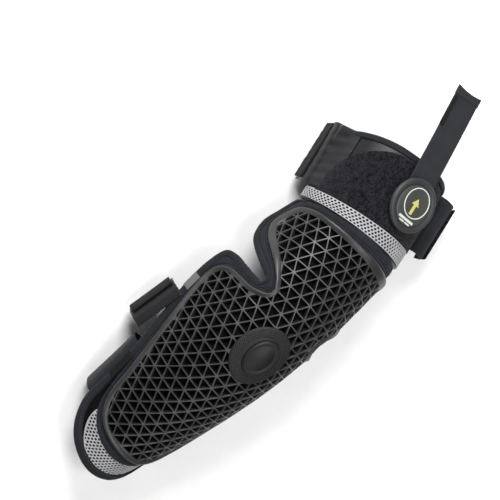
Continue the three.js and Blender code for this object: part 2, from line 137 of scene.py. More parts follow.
# ------------------------------------------------------------------ curves
def cr(rows, u, closed=False):
    """Centripetal Catmull-Rom through rows at real indices u."""
    P = np.asarray(rows, float)
    n = len(P)
    u = np.asarray(u, float)
    i = np.floor(u).astype(int)
    if not closed:
        i = np.clip(i, 0, n - 2)
    t = (u - i)[:, None]

    def g(k):
        j = i + k
        if closed:
            return P[j % n]
        a = P[np.clip(j, 0, n - 1)]
        a = np.where((j < 0)[:, None], 2 * P[0] - P[1], a)
        return np.where((j > n - 1)[:, None], 2 * P[-1] - P[-2], a)

    p0, p1, p2, p3 = g(-1), g(0), g(1), g(2)

    def d(a, b):
        return np.maximum(np.sqrt(np.linalg.norm(b - a, axis=1)), 1e-4)[:, None]

    t1 = d(p0, p1)
    t2 = t1 + d(p1, p2)
    t3 = t2 + d(p2, p3)
    T = t1 + (t2 - t1) * t
    A1 = (t1 - T) / t1 * p0 + T / t1 * p1
    A2 = (t2 - T) / (t2 - t1) * p1 + (T - t1) / (t2 - t1) * p2
    A3 = (t3 - T) / (t3 - t2) * p2 + (T - t2) / (t3 - t2) * p3
    B1 = (t2 - T) / t2 * A1 + T / t2 * A2
    B2 = (t3 - T) / (t3 - t1) * A2 + (T - t1) / (t3 - t1) * A3
    return (t2 - T) / (t2 - t1) * B1 + (T - t1) / (t2 - t1) * B2


def flat_rows(rows, g):
    return [[s, g * float(arc(s, d))] for s, d in rows]


def whole_loop(F, U):
    """One closed outline: wrist apex, near side, elbow notch, upper end, back along the far side."""
    return np.array(flat_rows(F[::-1], -1) + flat_rows(U, -1) + flat_rows(U[:-1][::-1], 1) + flat_rows(F[:-1], 1), float)


def cumlen(P, closed=False):
    d = np.linalg.norm(np.diff(P, axis=0), axis=1)
    return np.concatenate([[0], np.cumsum(d)])


def normals2d(P, closed=True):
    """Unit normals to the left of a polyline's direction of travel."""
    if closed:
        t = np.roll(P, -1, 0) - np.roll(P, 1, 0)
    else:
        t = np.gradient(P, axis=0)
    t /= np.maximum(np.linalg.norm(t, axis=1), 1e-9)[:, None]
    return np.stack([-t[:, 1], t[:, 0]], -1)


def smooth_closed(P, k, times=1):
    for _ in range(times):
        Q = P.copy()
        for j in range(1, k + 1):
            Q += np.roll(P, j, 0) + np.roll(P, -j, 0)
        P = Q / (2 * k + 1)
    return P


def inside(P, poly):
    """Which of the points P lie inside the closed polygon poly."""
    P = np.asarray(P, float)
    c = np.zeros(len(P), bool)
    a = poly
    b = np.roll(poly, -1, 0)
    for (x0, y0), (x1, y1) in zip(a, b):
        hit = (y0 > P[:, 1]) != (y1 > P[:, 1])
        if y1 != y0:
            c ^= hit & (P[:, 0] < (x1 - x0) * (P[:, 1] - y0) / (y1 - y0) + x0)
    return c


def clip_convex(subject, clip):
    """Sutherland-Hodgman: the part of subject inside the convex, counter-clockwise polygon clip."""
    out = [tuple(p) for p in subject]
    for k in range(len(clip)):
        a, b = clip[k], clip[(k + 1) % len(clip)]
        ex, ey = b[0] - a[0], b[1] - a[1]
        src, out = out, []
        if not src:
            return []
        for j in range(len(src)):
            p, q = src[j - 1], src[j]
            dp = ex * (p[1] - a[1]) - ey * (p[0] - a[0])
            dq = ex * (q[1] - a[1]) - ey * (q[0] - a[0])
            if dp >= 0:
                if dq >= 0:
                    out.append(q)
                else:
                    t = dp / (dp - dq)
                    out.append((p[0] + t * (q[0] - p[0]), p[1] + t * (q[1] - p[1])))
            elif dq >= 0:
                t = dp / (dp - dq)
                out.append((p[0] + t * (q[0] - p[0]), p[1] + t * (q[1] - p[1])))
                out.append(q)
    clean = []
    for p in out:
        if not clean or math.hypot(p[0] - clean[-1][0], p[1] - clean[-1][1]) > 0.05:
            clean.append(p)
    while len(clean) > 2 and math.hypot(clean[0][0] - clean[-1][0], clean[0][1] - clean[-1][1]) < 0.05:
        clean.pop()
    return clean


def polygon_area(p):
    p = np.asarray(p)
    x, y = p[:, 0], p[:, 1]
    return 0.5 * float(np.sum(x * np.roll(y, -1) - y * np.roll(x, -1)))


# ------------------------------------------------------------------ materials
class Nodes:
    """A short way to write a material's node tree."""

    def __init__(self, name, rough=0.6, spec=0.5, sheen=0.0, sheen_rough=0.4, sheen_tint=(1, 1, 1), coat=0.0, metal=0.0):
        self.m = bpy.data.materials.new(name)
        self.m.use_nodes = True
        self.t = self.m.node_tree
        self.b = self.t.nodes["Principled BSDF"]
        self.b.inputs["Roughness"].default_value = rough
        self.b.inputs["Specular IOR Level"].default_value = spec
        self.b.inputs["Metallic"].default_value = metal
        if sheen:
            self.b.inputs["Sheen Weight"].default_value = sheen
            self.b.inputs["Sheen Roughness"].default_value = sheen_rough
            self.b.inputs["Sheen Tint"].default_value = (*sheen_tint, 1)
        if coat:
            self.b.inputs["Coat Weight"].default_value = coat
            self.b.inputs["Coat Roughness"].default_value = 0.3
        at = self.add("ShaderNodeAttribute", attribute_name="flat")
        self.flat = at.outputs["Vector"]

    def add(self, kind, **props):
        n = self.t.nodes.new(kind)
        for k, v in props.items():
            setattr(n, k, v)
        return n

    def put(self, socket, value):
        if hasattr(value, "is_linked") or hasattr(value, "links"):
            self.t.links.new(value, socket)
        else:
            socket.default_value = value

    def math(self, op, a, b=0.0, c=None):
        n = self.add("ShaderNodeMath", operation=op)
        self.put(n.inputs[0], a)
        self.put(n.inputs[1], b)
        if c is not None:
            self.put(n.inputs[2], c)
        return n.outputs[0]

    def scaled(self, v, x=1.0, y=1.0, z=1.0):
        n = self.add("ShaderNodeVectorMath", operation="MULTIPLY")
        self.put(n.inputs[0], v)
        n.inputs[1].default_value = (x, y, z)
        return n.outputs[0]

    def split(self, v):
        n = self.add("ShaderNodeSeparateXYZ")
        self.put(n.inputs[0], v)
        return n.outputs

    def noise(self, v, scale, detail=2.0, rough=0.5, distortion=0.0):
        n = self.add("ShaderNodeTexNoise")
        self.put(n.inputs["Vector"], v)
        n.inputs["Scale"].default_value = scale
        n.inputs["Detail"].default_value = detail
        n.inputs["Roughness"].default_value = rough
        n.inputs["Distortion"].default_value = distortion
        return n.outputs["Fac"]

    def voronoi(self, v, scale, feature="F1", randomness=1.0):
        n = self.add("ShaderNodeTexVoronoi", feature=feature)
        self.put(n.inputs["Vector"], v)
        n.inputs["Scale"].default_value = scale
        n.inputs["Randomness"].default_value = randomness
        return n.outputs["Distance"]

    def ramp(self, fac, stops):
        n = self.add("ShaderNodeValToRGB")
        self.put(n.inputs[0], fac)
        e = n.color_ramp.elements
        while len(e) < len(stops):
            e.new(0.5)
        for k, (p, c) in enumerate(stops):
            e[k].position = p
            e[k].color = (*c, 1) if len(c) == 3 else c
        return n.outputs[0]

    def mix(self, fac, a, b, blend="MIX"):
        n = self.add("ShaderNodeMix", data_type="RGBA", blend_type=blend)
        self.put(n.inputs[0], fac)
        for i, v in ((6, a), (7, b)):
            if isinstance(v, tuple):
                n.inputs[i].default_value = (*v, 1) if len(v) == 3 else v
            else:
                self.put(n.inputs[i], v)
        return n.outputs[2]

    def range(self, v, a, b, c, d):
        n = self.add("ShaderNodeMapRange")
        self.put(n.inputs[0], v)
        for i, x in enumerate((a, b, c, d)):
            n.inputs[i + 1].default_value = x
        return n.outputs[0]

    def attribute(self, name):
        return self.add("ShaderNodeAttribute", attribute_name=name).outputs["Fac"]

    def bump(self, height, distance_mm, strength=1.0, after=None):
        n = self.add("ShaderNodeBump")
        n.inputs["Strength"].default_value = strength
        n.inputs["Distance"].default_value = distance_mm * MM
        self.put(n.inputs["Height"], height)
        if after is not None:
            self.put(n.inputs["Normal"], after)
        return n.outputs[0]

    def wave(self, x, pitch, phase=0.0):
        """A smooth 0..1 wave of this pitch along the coordinate x."""
        return self.math("MULTIPLY_ADD", self.math("SINE", self.math("MULTIPLY_ADD", x, 2 * math.pi / pitch, phase)), 0.5, 0.5)

    def weave(self, v, px, py):
        """A plain weave: raised threads that alternate over and under."""
        x, y, _ = self.split(v)
        cx = self.math("ABSOLUTE", self.math("SINE", self.math("MULTIPLY", x, math.pi / px)))
        cy = self.math("ABSOLUTE", self.math("SINE", self.math("MULTIPLY", y, math.pi / py)))
        fx = self.math("FLOORED_MODULO", self.math("FLOOR", self.math("MULTIPLY", x, 1 / px)), 2.0)
        fy = self.math("FLOORED_MODULO", self.math("FLOOR", self.math("MULTIPLY", y, 1 / py)), 2.0)
        par = self.math("ABSOLUTE", self.math("SUBTRACT", fx, fy))
        one = self.math("MULTIPLY", cx, par)
        two = self.math("MULTIPLY", cy, self.math("SUBTRACT", 1.0, par))
        return self.math("ADD", one, two)

    def finish(self, colour=None, rough=None, normal=None):
        if colour is not None:
            self.t.links.new(colour, self.b.inputs["Base Color"])
        if rough is not None:
            self.t.links.new(rough, self.b.inputs["Roughness"])
        if normal is not None:
            self.t.links.new(normal, self.b.inputs["Normal"])
        return self.m


def rubber(name, dark, light, rough=0.5, spec=0.45, worn_and_highlight=None, grain=0.05):
    n = Nodes(name, rough=rough, spec=spec)
    big = n.noise(n.flat, 0.035, 3, 0.6)
    fine = n.noise(n.flat, 2.2, 3, 0.65)
    col = n.ramp(n.math("ADD", n.math("MULTIPLY", big, 0.7), n.math("MULTIPLY", fine, 0.3)), [(0.3, dark), (0.72, light)])
    # The top attribute mixes a lighter colour onto the rib tops: partly rubbed wear, partly a painted highlight where
    # light catches the tops.
    if worn_and_highlight is not None:
        top = n.attribute("top")
        wear_and_highlight = n.math("MULTIPLY", top, n.range(n.noise(n.flat, 0.16, 4, 0.6), 0.3, 0.66, 0.25, 1.0))
        col = n.mix(wear_and_highlight, col, worn_and_highlight)
        r = n.math("MULTIPLY_ADD", top, -0.1, rough + 0.05)
    else:
        r = rough
    rr = n.math("ADD", n.math("MULTIPLY", fine, 0.14), n.math("SUBTRACT", r, 0.05))
    return n.finish(col, rr, n.bump(n.noise(n.flat, 3.1, 2, 0.7), grain, 0.7))


def cloth(name, dark, light, pitch=0.9, rough=0.85, sheen=0.25, depth=0.12, tint=(0.8, 0.85, 1.0), mottled=0.06, slant=False, rib=None, spec=None):
    n = Nodes(name, rough=rough, spec=spec if spec is not None else (0.12 if rough > 0.6 else 0.22), sheen=sheen, sheen_rough=0.45, sheen_tint=tint)
    v = n.flat
    if slant:
        rot = n.add("ShaderNodeVectorRotate")
        rot.inputs["Angle"].default_value = 0.6
        n.put(rot.inputs["Vector"], n.flat)
        v = rot.outputs[0]
    if rib:
        x, y, _ = n.split(v)
        h = n.math("ADD", n.math("MULTIPLY", n.wave(y, rib), 0.7), n.math("MULTIPLY", n.weave(v, pitch, rib / 2), 0.3))
    else:
        h = n.weave(v, pitch, pitch)
    fuzz = n.noise(n.flat, 1.7, 3, 0.7)
    big = n.noise(n.flat, mottled, 4, 0.6)
    tone = n.math("ADD", n.math("MULTIPLY", big, 0.55), n.math("ADD", n.math("MULTIPLY", h, 0.25), n.math("MULTIPLY", fuzz, 0.3)))
    col = n.ramp(tone, [(0.25, dark), (0.8, light)])
    rr = n.math("MULTIPLY_ADD", fuzz, 0.16, rough - 0.08)
    nm = n.bump(h, depth, 0.6)
    nm = n.bump(fuzz, depth * 0.8, 0.5, nm)
    return n.finish(col, rr, nm)


def pile(name, dark, light, scale=0.75, depth=0.5, speck=0.5):
    """Loop pile, hooks or brushed cloth: small dark tufts with lighter tips."""
    n = Nodes(name, rough=0.95, spec=0.12, sheen=0.06, sheen_rough=0.35, sheen_tint=(0.8, 0.82, 0.95))
    vo = n.voronoi(n.flat, scale, randomness=1.0)
    no = n.noise(n.flat, 1.5, 4, 0.75, 0.6)
    big = n.noise(n.flat, 0.13, 3, 0.6)
    h = n.math("SUBTRACT", no, n.math("MULTIPLY", vo, 0.5))
    tone = n.math("ADD", n.math("MULTIPLY", h, speck), n.math("MULTIPLY", big, 0.6))
    col = n.ramp(tone, [(0.36, dark), (0.88, light)])
    rr = n.math("MULTIPLY_ADD", no, 0.1, 0.87)
    return n.finish(col, rr, n.bump(h, depth, 0.9))


def hooks(name, dark, light):
    n = Nodes(name, rough=0.8, spec=0.3)
    x, y, _ = n.split(n.flat)
    h = n.math("MULTIPLY", n.wave(x, 1.1), n.wave(y, 1.3))
    no = n.noise(n.flat, 1.2, 3, 0.7)
    col = n.ramp(n.math("ADD", n.math("MULTIPLY", h, 0.6), n.math("MULTIPLY", no, 0.4)), [(0.2, dark), (0.85, light)])
    return n.finish(col, n.math("MULTIPLY_ADD", no, 0.2, 0.68), n.bump(h, 0.45, 0.8))


# Shell rubber: its lighter rib-top colour is partly wear and partly a painted highlight.
M_SHELL = rubber("shell_rubber", (0.0034, 0.0036, 0.0036), (0.0080, 0.0084, 0.0082), 0.46, 0.34, worn_and_highlight=(0.040, 0.0415, 0.0395))
M_RIM = rubber("rim_rubber", (0.0085, 0.0089, 0.0088), (0.0235, 0.0242, 0.0234), 0.38, 0.42)
M_BORDER = cloth("border_fabric", (0.0045, 0.0052, 0.0068), (0.0175, 0.0195, 0.0250), 1.1, 0.85, 0.05, 0.22, mottled=0.12)
M_BINDING = cloth("binding_fabric", (0.0038, 0.0043, 0.0054), (0.0145, 0.0160, 0.0200), 0.9, 0.8, 0.05, 0.16, mottled=0.12, rib=1.2)
M_FOAM = pile("foam", (0.0008, 0.0008, 0.001), (0.005, 0.005, 0.0055), 0.9, 0.25)
M_LINING = cloth("lining", (0.010, 0.010, 0.012), (0.032, 0.033, 0.037), 1.5, 0.9, 0.08, 0.25)
M_ELASTIC = cloth("elastic", (0.007, 0.0073, 0.0085), (0.020, 0.021, 0.024), 1.1, 0.75, 0.07, 0.16, rib=1.5)
M_SMOOTH = cloth("smooth_elastic", (0.0020, 0.0021, 0.0026), (0.0078, 0.0081, 0.0094), 0.7, 0.34, 0.03, 0.10, rib=0.9)
M_WING = cloth("wing_elastic", (0.0018, 0.0019, 0.0023), (0.0068, 0.0071, 0.0082), 0.7, 0.31, 0.02, 0.08, rib=0.9, spec=0.27)
M_WEB = cloth("webbing", (0.009, 0.0095, 0.011), (0.024, 0.025, 0.029), 1.4, 0.78, 0.08, 0.18, rib=1.6)
M_LOOP = pile("loop_pile", (0.0004, 0.0004, 0.0006), (0.024, 0.024, 0.030), 0.62, 1.6, 1.0)
M_HOOK = hooks("hook_tape", (0.0010, 0.0010, 0.0013), (0.0060, 0.0060, 0.0074))
M_BADGE = rubber("badge_rubber", (0.015, 0.016, 0.0175), (0.028, 0.030, 0.0325), 0.5, 0.35)
M_FACE = rubber("badge_face", (0.026, 0.029, 0.025), (0.044, 0.048, 0.041), 0.42, 0.4, grain=0.02)
M_WHITE = rubber("badge_white", (0.40, 0.42, 0.38), (0.55, 0.57, 0.52), 0.5, 0.4, grain=0.02)
M_YELLOW = rubber("badge_yellow", (0.34, 0.33, 0.08), (0.47, 0.45, 0.16), 0.5, 0.4, grain=0.02)
M_CAP = rubber("cap_disc", (0.0030, 0.0031, 0.0031), (0.0085, 0.0087, 0.0085), 0.52, 0.26, grain=0.08)
M_BOSS = rubber("cap_boss", (0.0034, 0.0036, 0.0035), (0.0085, 0.0088, 0.0085), 0.46, 0.22, grain=0.03)
M_TAG = rubber("label_rubber", (0.0022, 0.0022, 0.0026), (0.0050, 0.0050, 0.0060), 0.72, 0.15, grain=0.03)
M_WOVEN = cloth("label_woven", (0.055, 0.058, 0.060), (0.13, 0.135, 0.14), 0.5, 0.75, 0.2, 0.05)
M_THREAD = cloth("thread", (0.010, 0.010, 0.012), (0.026, 0.027, 0.032), 0.4, 0.7, 0.2, 0.05)


def silver():
    n = Nodes("silver_mesh", rough=0.55, spec=0.35)
    x, y, _ = n.split(n.flat)
    strand = n.wave(n.math("ADD", x, n.math("MULTIPLY", n.noise(n.flat, 0.6, 2), 0.8)), 0.9)
    no = n.noise(n.flat, 1.4, 3, 0.7)
    big = n.noise(n.flat, 0.05, 3, 0.6)
    tone = n.math("ADD", n.math("MULTIPLY", no, 0.35), n.math("ADD", n.math("MULTIPLY", strand, 0.2), n.math("MULTIPLY", big, 0.45)))
    col = n.ramp(tone, [(0.2, (0.16, 0.16, 0.168)), (0.75, (0.40, 0.40, 0.41))])
    return n.finish(col, n.math("MULTIPLY_ADD", no, 0.2, 0.45), n.bump(strand, 0.18, 0.7))


M_SILVER = silver()


# ------------------------------------------------------------------ mesh making
def make(name, verts_m, faces, mat, flat, sharp=40, extra=None):
    me = bpy.data.meshes.new(name)
    me.from_pydata(np.asarray(verts_m, float).tolist(), [], [list(map(int, f)) for f in faces])
    me.update()
    bm = bmesh.new()
    bm.from_mesh(me)
    bmesh.ops.recalc_face_normals(bm, faces=bm.faces)
    bm.to_mesh(me)
    bm.free()
    a = me.attributes.new("flat", "FLOAT_VECTOR", "POINT")
    a.data.foreach_set("vector", np.asarray(flat, np.float32).ravel())
    for k, v in (extra or {}).items():
        b = me.attributes.new(k, "FLOAT", "POINT")
        b.data.foreach_set("value", np.asarray(v, np.float32).ravel())
    me.polygons.foreach_set("use_smooth", [True] * len(me.polygons))
    me.set_sharp_from_angle(angle=math.radians(sharp))
    me.materials.append(mat)
    me.update()
    ob = bpy.data.objects.new(name, me)
    bpy.context.scene.collection.objects.link(ob)
    return ob


def loft(name, lines, mat, closed=False, sharp=40, flat_u=None):
    """A solid whose cross-section loop is lines[0], lines[1], ... and back to lines[0]; each is (n, 3), in mm."""
    L = np.asarray(lines, float)
    K, N, _ = L.shape
    idx = np.arange(K * N).reshape(K, N)
    faces = []
    span = N if closed else N - 1
    for k in range(K):
        a, b = idx[k], idx[(k + 1) % K]
        i = np.arange(span)
        j = (i + 1) % N
        faces += np.stack([a[i], a[j], b[j], b[i]], -1).tolist()
    if not closed:
        faces += [idx[:, 0].tolist(), idx[::-1, N - 1].tolist()]
    mid = L.mean(0)
    u = np.concatenate([[0], np.cumsum(np.linalg.norm(np.diff(mid, axis=0), axis=1))]) if flat_u is None else flat_u
    v = np.concatenate([[0], np.cumsum(np.linalg.norm(np.diff(L, axis=0), axis=2).mean(1))])
    flat = np.stack([np.broadcast_to(u, (K, N)), np.broadcast_to(v[:, None], (K, N)), np.zeros((K, N))], -1)
    return make(name, world(L).reshape(-1, 3), faces, mat, flat.reshape(-1, 3), sharp)


def grid_normals(P):
    du = np.gradient(P, axis=0)
    dv = np.gradient(P, axis=1)
    n = np.cross(du, dv)
    return n / np.maximum(np.linalg.norm(n, axis=2), 1e-9)[..., None]


def plate(name, P, half, mat, sharp=50, N=None, lift=None, lower=None):
    """A closed sheet of the given half thickness round the grid of points P (a, b, 3), in mm.
    lift moves the top face out by an array of heights, and lower the underside."""
    P = np.asarray(P, float)
    a, b, _ = P.shape
    if N is None:
        N = grid_normals(P)
    half = np.broadcast_to(np.asarray(half, float), (a, b))
    up = half if lift is None else half + lift
    dn = half if lower is None else half + lower
    top = P + N * up[..., None]
    bot = P - N * dn[..., None]
    V = np.concatenate([top.reshape(-1, 3), bot.reshape(-1, 3)])
    idx = np.arange(a * b).reshape(a, b)
    low = idx + a * b
    q = lambda I: np.stack([I[:-1, :-1], I[1:, :-1], I[1:, 1:], I[:-1, 1:]], -1).reshape(-1, 4)
    faces = q(idx).tolist() + q(low)[:, ::-1].tolist()
    ring = np.concatenate([idx[0, :-1], idx[:-1, -1], idx[-1, :0:-1], idx[:0:-1, 0]])
    nxt = np.roll(ring, -1)
    faces += np.stack([ring, nxt, nxt + a * b, ring + a * b], -1).tolist()
    u = np.concatenate([[0], np.cumsum(np.linalg.norm(np.diff(P, axis=0), axis=2).mean(1))])
    v = np.concatenate([[0], np.cumsum(np.linalg.norm(np.diff(P, axis=1), axis=2).mean(0))])
    f = np.stack([np.broadcast_to(u[:, None], (a, b)), np.broadcast_to(v, (a, b)), np.zeros((a, b))], -1).reshape(-1, 3)
    ob = make(name, world(V), faces, mat, np.concatenate([f, f]), sharp)
    ob["cloth_w"], ob["cloth_l"] = float(u[-1]) * MM, float(v[-1]) * MM
    A = np.linalg.norm(np.cross(P[1:, :-1] - P[:-1, :-1], P[:-1, 1:] - P[:-1, :-1]), axis=2).sum()
    ob["cloth_a"] = float(A) * MM * MM
    return ob


def eased(n, edge=(0.0, 0.004, 0.012)):
    """0..1 in n steps, with close rows near both ends, so that an edge can be rounded."""
    m = np.linspace(edge[-1], 1 - edge[-1], n)
    return np.concatenate([edge[:-1], m, [1 - e for e in edge[:-1][::-1]]])


def edge_round(u, v, len_u, len_v, r):
    """A thickness factor that falls off within r mm of each border of a u by v sheet."""
    du = np.minimum(u, 1 - u)[:, None] * len_u
    dv = np.minimum(v, 1 - v)[None, :] * len_v
    d = np.clip(np.minimum(du, dv) / r, 0, 1)
    return 0.35 + 0.65 * np.sqrt(np.clip(1 - (1 - d) ** 2, 0, 1))


def sheet(ob, held, flat=None, area=None, **kw):
    w, l, A = ob["cloth_w"], ob["cloth_l"], ob["cloth_a"]
    if flat is not None:
        w, l = flat
    if area is not None:
        A = area
    w, l = max(w, 0.0102), max(l, 0.0102)
    for key in ("cloth_w", "cloth_l", "cloth_a"):
        if key in ob:
            del ob[key]


def value_noise(a, b, cell, seed):
    """Smooth random values on an a by b grid; cell is the size of one bump, in grid steps."""
    g = np.random.default_rng(seed)
    na, nb = int(a / cell) + 3, int(b / cell) + 3
    r = g.random((na, nb))
    x, y = np.arange(a) / cell, np.arange(b) / cell
    i, j = x.astype(int), y.astype(int)
    fx, fy = x - i, y - j
    fx, fy = fx * fx * (3 - 2 * fx), fy * fy * (3 - 2 * fy)
    p = r[i][:, j] * (1 - fy) + r[i][:, j + 1] * fy
    q = r[i + 1][:, j] * (1 - fy) + r[i + 1][:, j + 1] * fy
    return p * (1 - fx[:, None]) + q * fx[:, None]


def flexes(ob):
    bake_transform(ob)


# ------------------------------------------------------------------ outlines
SH_ROWS = whole_loop(F_SHELL, U_SHELL)
E_U = U_BIND + U_SLEEVE[7:]
E_ROWS = whole_loop(F_EDGE, E_U)
NROW = len(SH_ROWS)
# sample along the outline at about 1.8 mm
_u = np.linspace(0, NROW, 8001)[:-1]
_p = cr(E_ROWS, _u, closed=True)
_l = np.concatenate([[0], np.cumsum(np.linalg.norm(np.diff(_p, axis=0), axis=1))])
N_OUT = 420
U_PAR = np.interp(np.linspace(0, _l[-1], N_OUT + 1)[:-1], _l, _u)
SH = cr(SH_ROWS, U_PAR, closed=True)
EDGE = cr(E_ROWS, U_PAR, closed=True)
SH_N = normals2d(smooth_closed(SH, 2))
if (SH_N[0] @ np.array([1.0, 0.0])) < 0:
    SH_N = -SH_N                       # outward: at the wrist apex it points to the wrist
EDGE_N = normals2d(smooth_closed(EDGE, 2))
if (EDGE_N[0] @ np.array([1.0, 0.0])) < 0:
    EDGE_N = -EDGE_N
UPPER_W = np.clip((-52 - SH[:, 0]) / 18, 0, 1)          # 1 on the upper part


def sh_off(d):
    return SH + SH_N * (np.asarray(d) * np.ones(N_OUT))[:, None]


BIND_W = np.interp(EDGE[:, 0], [-60, -30, 20, 110, 150], [5.5, 6.5, 8.5, 7.5, 7.5])
BIND_IN = smooth_closed(EDGE - EDGE_N * BIND_W[:, None], 2)
# the border's outer line: the binding's inner line, the mesh crescent at the wrist, the mesh band across the upper arm
SO_ROWS = E_ROWS.copy()
idx = np.interp(np.arange(NROW), U_PAR, np.arange(N_OUT)).round().astype(int)
for k in range(NROW):
    SO_ROWS[k] = BIND_IN[idx[k]]
nF = len(F_SHELL)
for g, order in ((-1, lambda i: nF - 1 - i), (1, lambda i: (NROW - (nF - 1)) + i if i < nF - 1 else 0)):
    for i in range(10, 15):
        s, d = F_MESH[i - 10]
        if g == 1 and i == 14:
            continue
        SO_ROWS[order(i)] = [s, g * float(arc(s, d))]
for g in (-1, 1):
    for i in range(7, 11):
        s, d = U_SLEEVE[i]
        k = nF + i if g == -1 else nF + 2 * 11 - 2 - i
        SO_ROWS[k] = [s, g * float(arc(s, d))]
S_OUT = cr(SO_ROWS, U_PAR, closed=True)

# ------------------------------------------------------------------ the shell: a moulded plate of open triangular cells
ROW_PITCH = [[-75, 10.4], [45, 9.45]]
_ks = np.arange(-140, 170.0, 0.5)
_kap = np.concatenate([[0], np.cumsum(0.5 / np.interp(0.5 * (_ks[1:] + _ks[:-1]), [-75, 45], [10.4, 9.45]))])
_kap -= np.interp(45.6, _ks, _kap)
_kap *= 12.0 / abs(np.interp(-74.6, _ks, _kap))


def lattice_node(k, m):
    s0 = float(np.interp(k, _kap, _ks))
    W = float(np.interp(s0, [-75, 45], [12.9, 13.2]))
    p = float(np.interp(s0, [-74.6, 45.6], [0.512, 0.75]))
    y = W * (m + 0.5 * (k % 2) + p)
    w = min(max((-20 - s0) / 55, 0), 1)
    w = w * w * (3 - 2 * w)
    return np.array([s0 + 0.079 * w * (math.sqrt(y * y + 100) - 21), y])


RIM_IN = -0.4 - 3.0 * UPPER_W
CLIP = sh_off(RIM_IN + 0.15)
CLIP_LIST = CLIP.tolist()
DISC_R = 26.0


def inset_cell(tri, t, corner=0.85):
    """The triangle's hole, its sides moved in by t, with eased corners, counter-clockwise."""
    A = abs(polygon_area(tri))
    per = sum(np.linalg.norm(tri[i] - tri[i - 1]) for i in range(3))
    inr = 2 * A / per
    a, b, c = (np.linalg.norm(tri[1] - tri[2]), np.linalg.norm(tri[2] - tri[0]), np.linalg.norm(tri[0] - tri[1]))
    inc = (a * tri[0] + b * tri[1] + c * tri[2]) / (a + b + c)
    q = inc + (tri - inc) * (inr - t) / inr
    if polygon_area(q) < 0:
        q = q[::-1]
    out = []
    for i in range(3):
        p0, p1, p2 = q[i - 1], q[i], q[(i + 1) % 3]
        e0, e1 = np.linalg.norm(p0 - p1), np.linalg.norm(p2 - p1)
        a0, a1 = p1 + (p0 - p1) * corner / e0, p1 + (p2 - p1) * corner / e1
        out += [a0, p1 + ((a0 + a1) / 2 - p1) * 0.62, a1]
        for f in (0.33, 0.67):
            out.append(a1 + (p2 + (p1 - p2) * corner / e1 - a1) * f)
    return np.array(out)


def build_perforated(name, outer, holes, levels, tops, mat, sharp, steiner=(), taper_top=None, drop=None):
    """A plate with holes. outer is a closed outline; holes are (polygon, inradius); levels is a list of
    (extra inset, r) under the top ring, and tops the r of the top ring. The last level carries the underside."""
    pts, edges = [], []

    def ring(poly):
        i0 = len(pts)
        pts.extend([Vector((float(p[0]), float(p[1]))) for p in poly])
        n = len(poly)
        edges.extend([(i0 + j, i0 + (j + 1) % n) for j in range(n)])
        return i0, n

    o0, on_ = ring(outer)
    spans = [ring(h[0]) for h in holes]
    for p in steiner:
        pts.append(Vector((float(p[0]), float(p[1]))))
    v, e, f, ov, oe, of_ = delaunay_2d_cdt(pts, edges, [], 1, 1e-6, True)
    v = np.array([[p[0], p[1]] for p in v])
    back = {}
    for new, olds in enumerate(ov):
        for o in olds:
            back[o] = new
    nv = len(v)
    owner = np.full(nv, -1)
    for h, (i0, n) in enumerate(spans):
        for j in range(n):
            if (i0 + j) in back:
                owner[back[i0 + j]] = h
    T3 = np.array([list(t) for t in f if len(t) == 3])
    own = owner[T3]
    cent = v[T3].mean(1)
    ok = inside(cent, np.asarray(outer, float))
    same = (own[:, 0] >= 0) & (own[:, 0] == own[:, 1]) & (own[:, 1] == own[:, 2])
    for i in np.where(same)[0]:
        if inside(cent[i:i + 1], np.asarray(holes[own[i, 0]][0], float))[0]:
            ok[i] = False
    f = T3[ok].tolist()
    r_top = np.full(nv, float(tops))
    V = [on(v[:, 0], v[:, 1], r_top if drop is None else r_top + drop(v))]
    F2 = [list(t) for t in f]
    flat = [np.c_[v, np.zeros(nv)]]
    # The top attribute: 1 on the top ring, 0.55 on the bevel, 0 down the walls; the shell paints its lighter rib-top
    # colour by it, partly wear and partly painted highlight.
    top = [np.ones(nv)]
    low_pos = v.copy()
    faces = list(F2)
    base = nv
    low_map = np.arange(nv)
    strips = []
    for (i0, n), (poly, inr) in zip(spans, holes):
        if any((i0 + j) not in back for j in range(n)):
            continue
        prev = np.array([back[i0 + j] for j in range(n)])
        poly = np.asarray(poly, float)
        c = poly.mean(0)
        for t, r in levels[:-1]:
            q = c + (poly - c) * max((inr - t) / inr, 0.25)
            V.append(on(q[:, 0], q[:, 1], r + (0 if drop is None else drop(q))))
            flat.append(np.c_[q, np.full(n, -r)])
            # The bevel ring gets part of the lighter rib-top colour (wear and painted highlight); deeper rings get
            # none.
            top.append(np.full(n, 0.55 if r > -0.8 else 0.0))
            cur = np.arange(base, base + n)
            base += n
            strips.append((prev, cur))
            prev = cur
        t, r = levels[-1]
        q = c + (poly - c) * max((inr - t) / inr, 0.2)
        low_pos[[back[i0 + j] for j in range(n)]] = q
        strips.append((prev, np.array([-1 - back[i0 + j] for j in range(n)])))
    # underside
    r = levels[-1][1]
    V.append(on(low_pos[:, 0], low_pos[:, 1], np.full(nv, float(r))))
    flat.append(np.c_[low_pos, np.full(nv, 5.0)])
    top.append(np.zeros(nv))
    for prev, cur in strips:
        cur = np.where(cur < 0, base + (-1 - cur), cur)
        n = len(prev)
        for j in range(n):
            k = (j + 1) % n
            faces.append([prev[j], prev[k], cur[k], cur[j]])
    faces += [[base + t for t in tri[::-1]] for tri in F2]
    out = [back[o0 + j] for j in range(on_)]
    for j in range(on_):
        k = (j + 1) % on_
        faces.append([out[j], out[k], base + out[k], base + out[j]])
    return make(name, world(np.concatenate(V)), faces, mat, np.concatenate(flat), sharp, {"top": np.concatenate(top)})


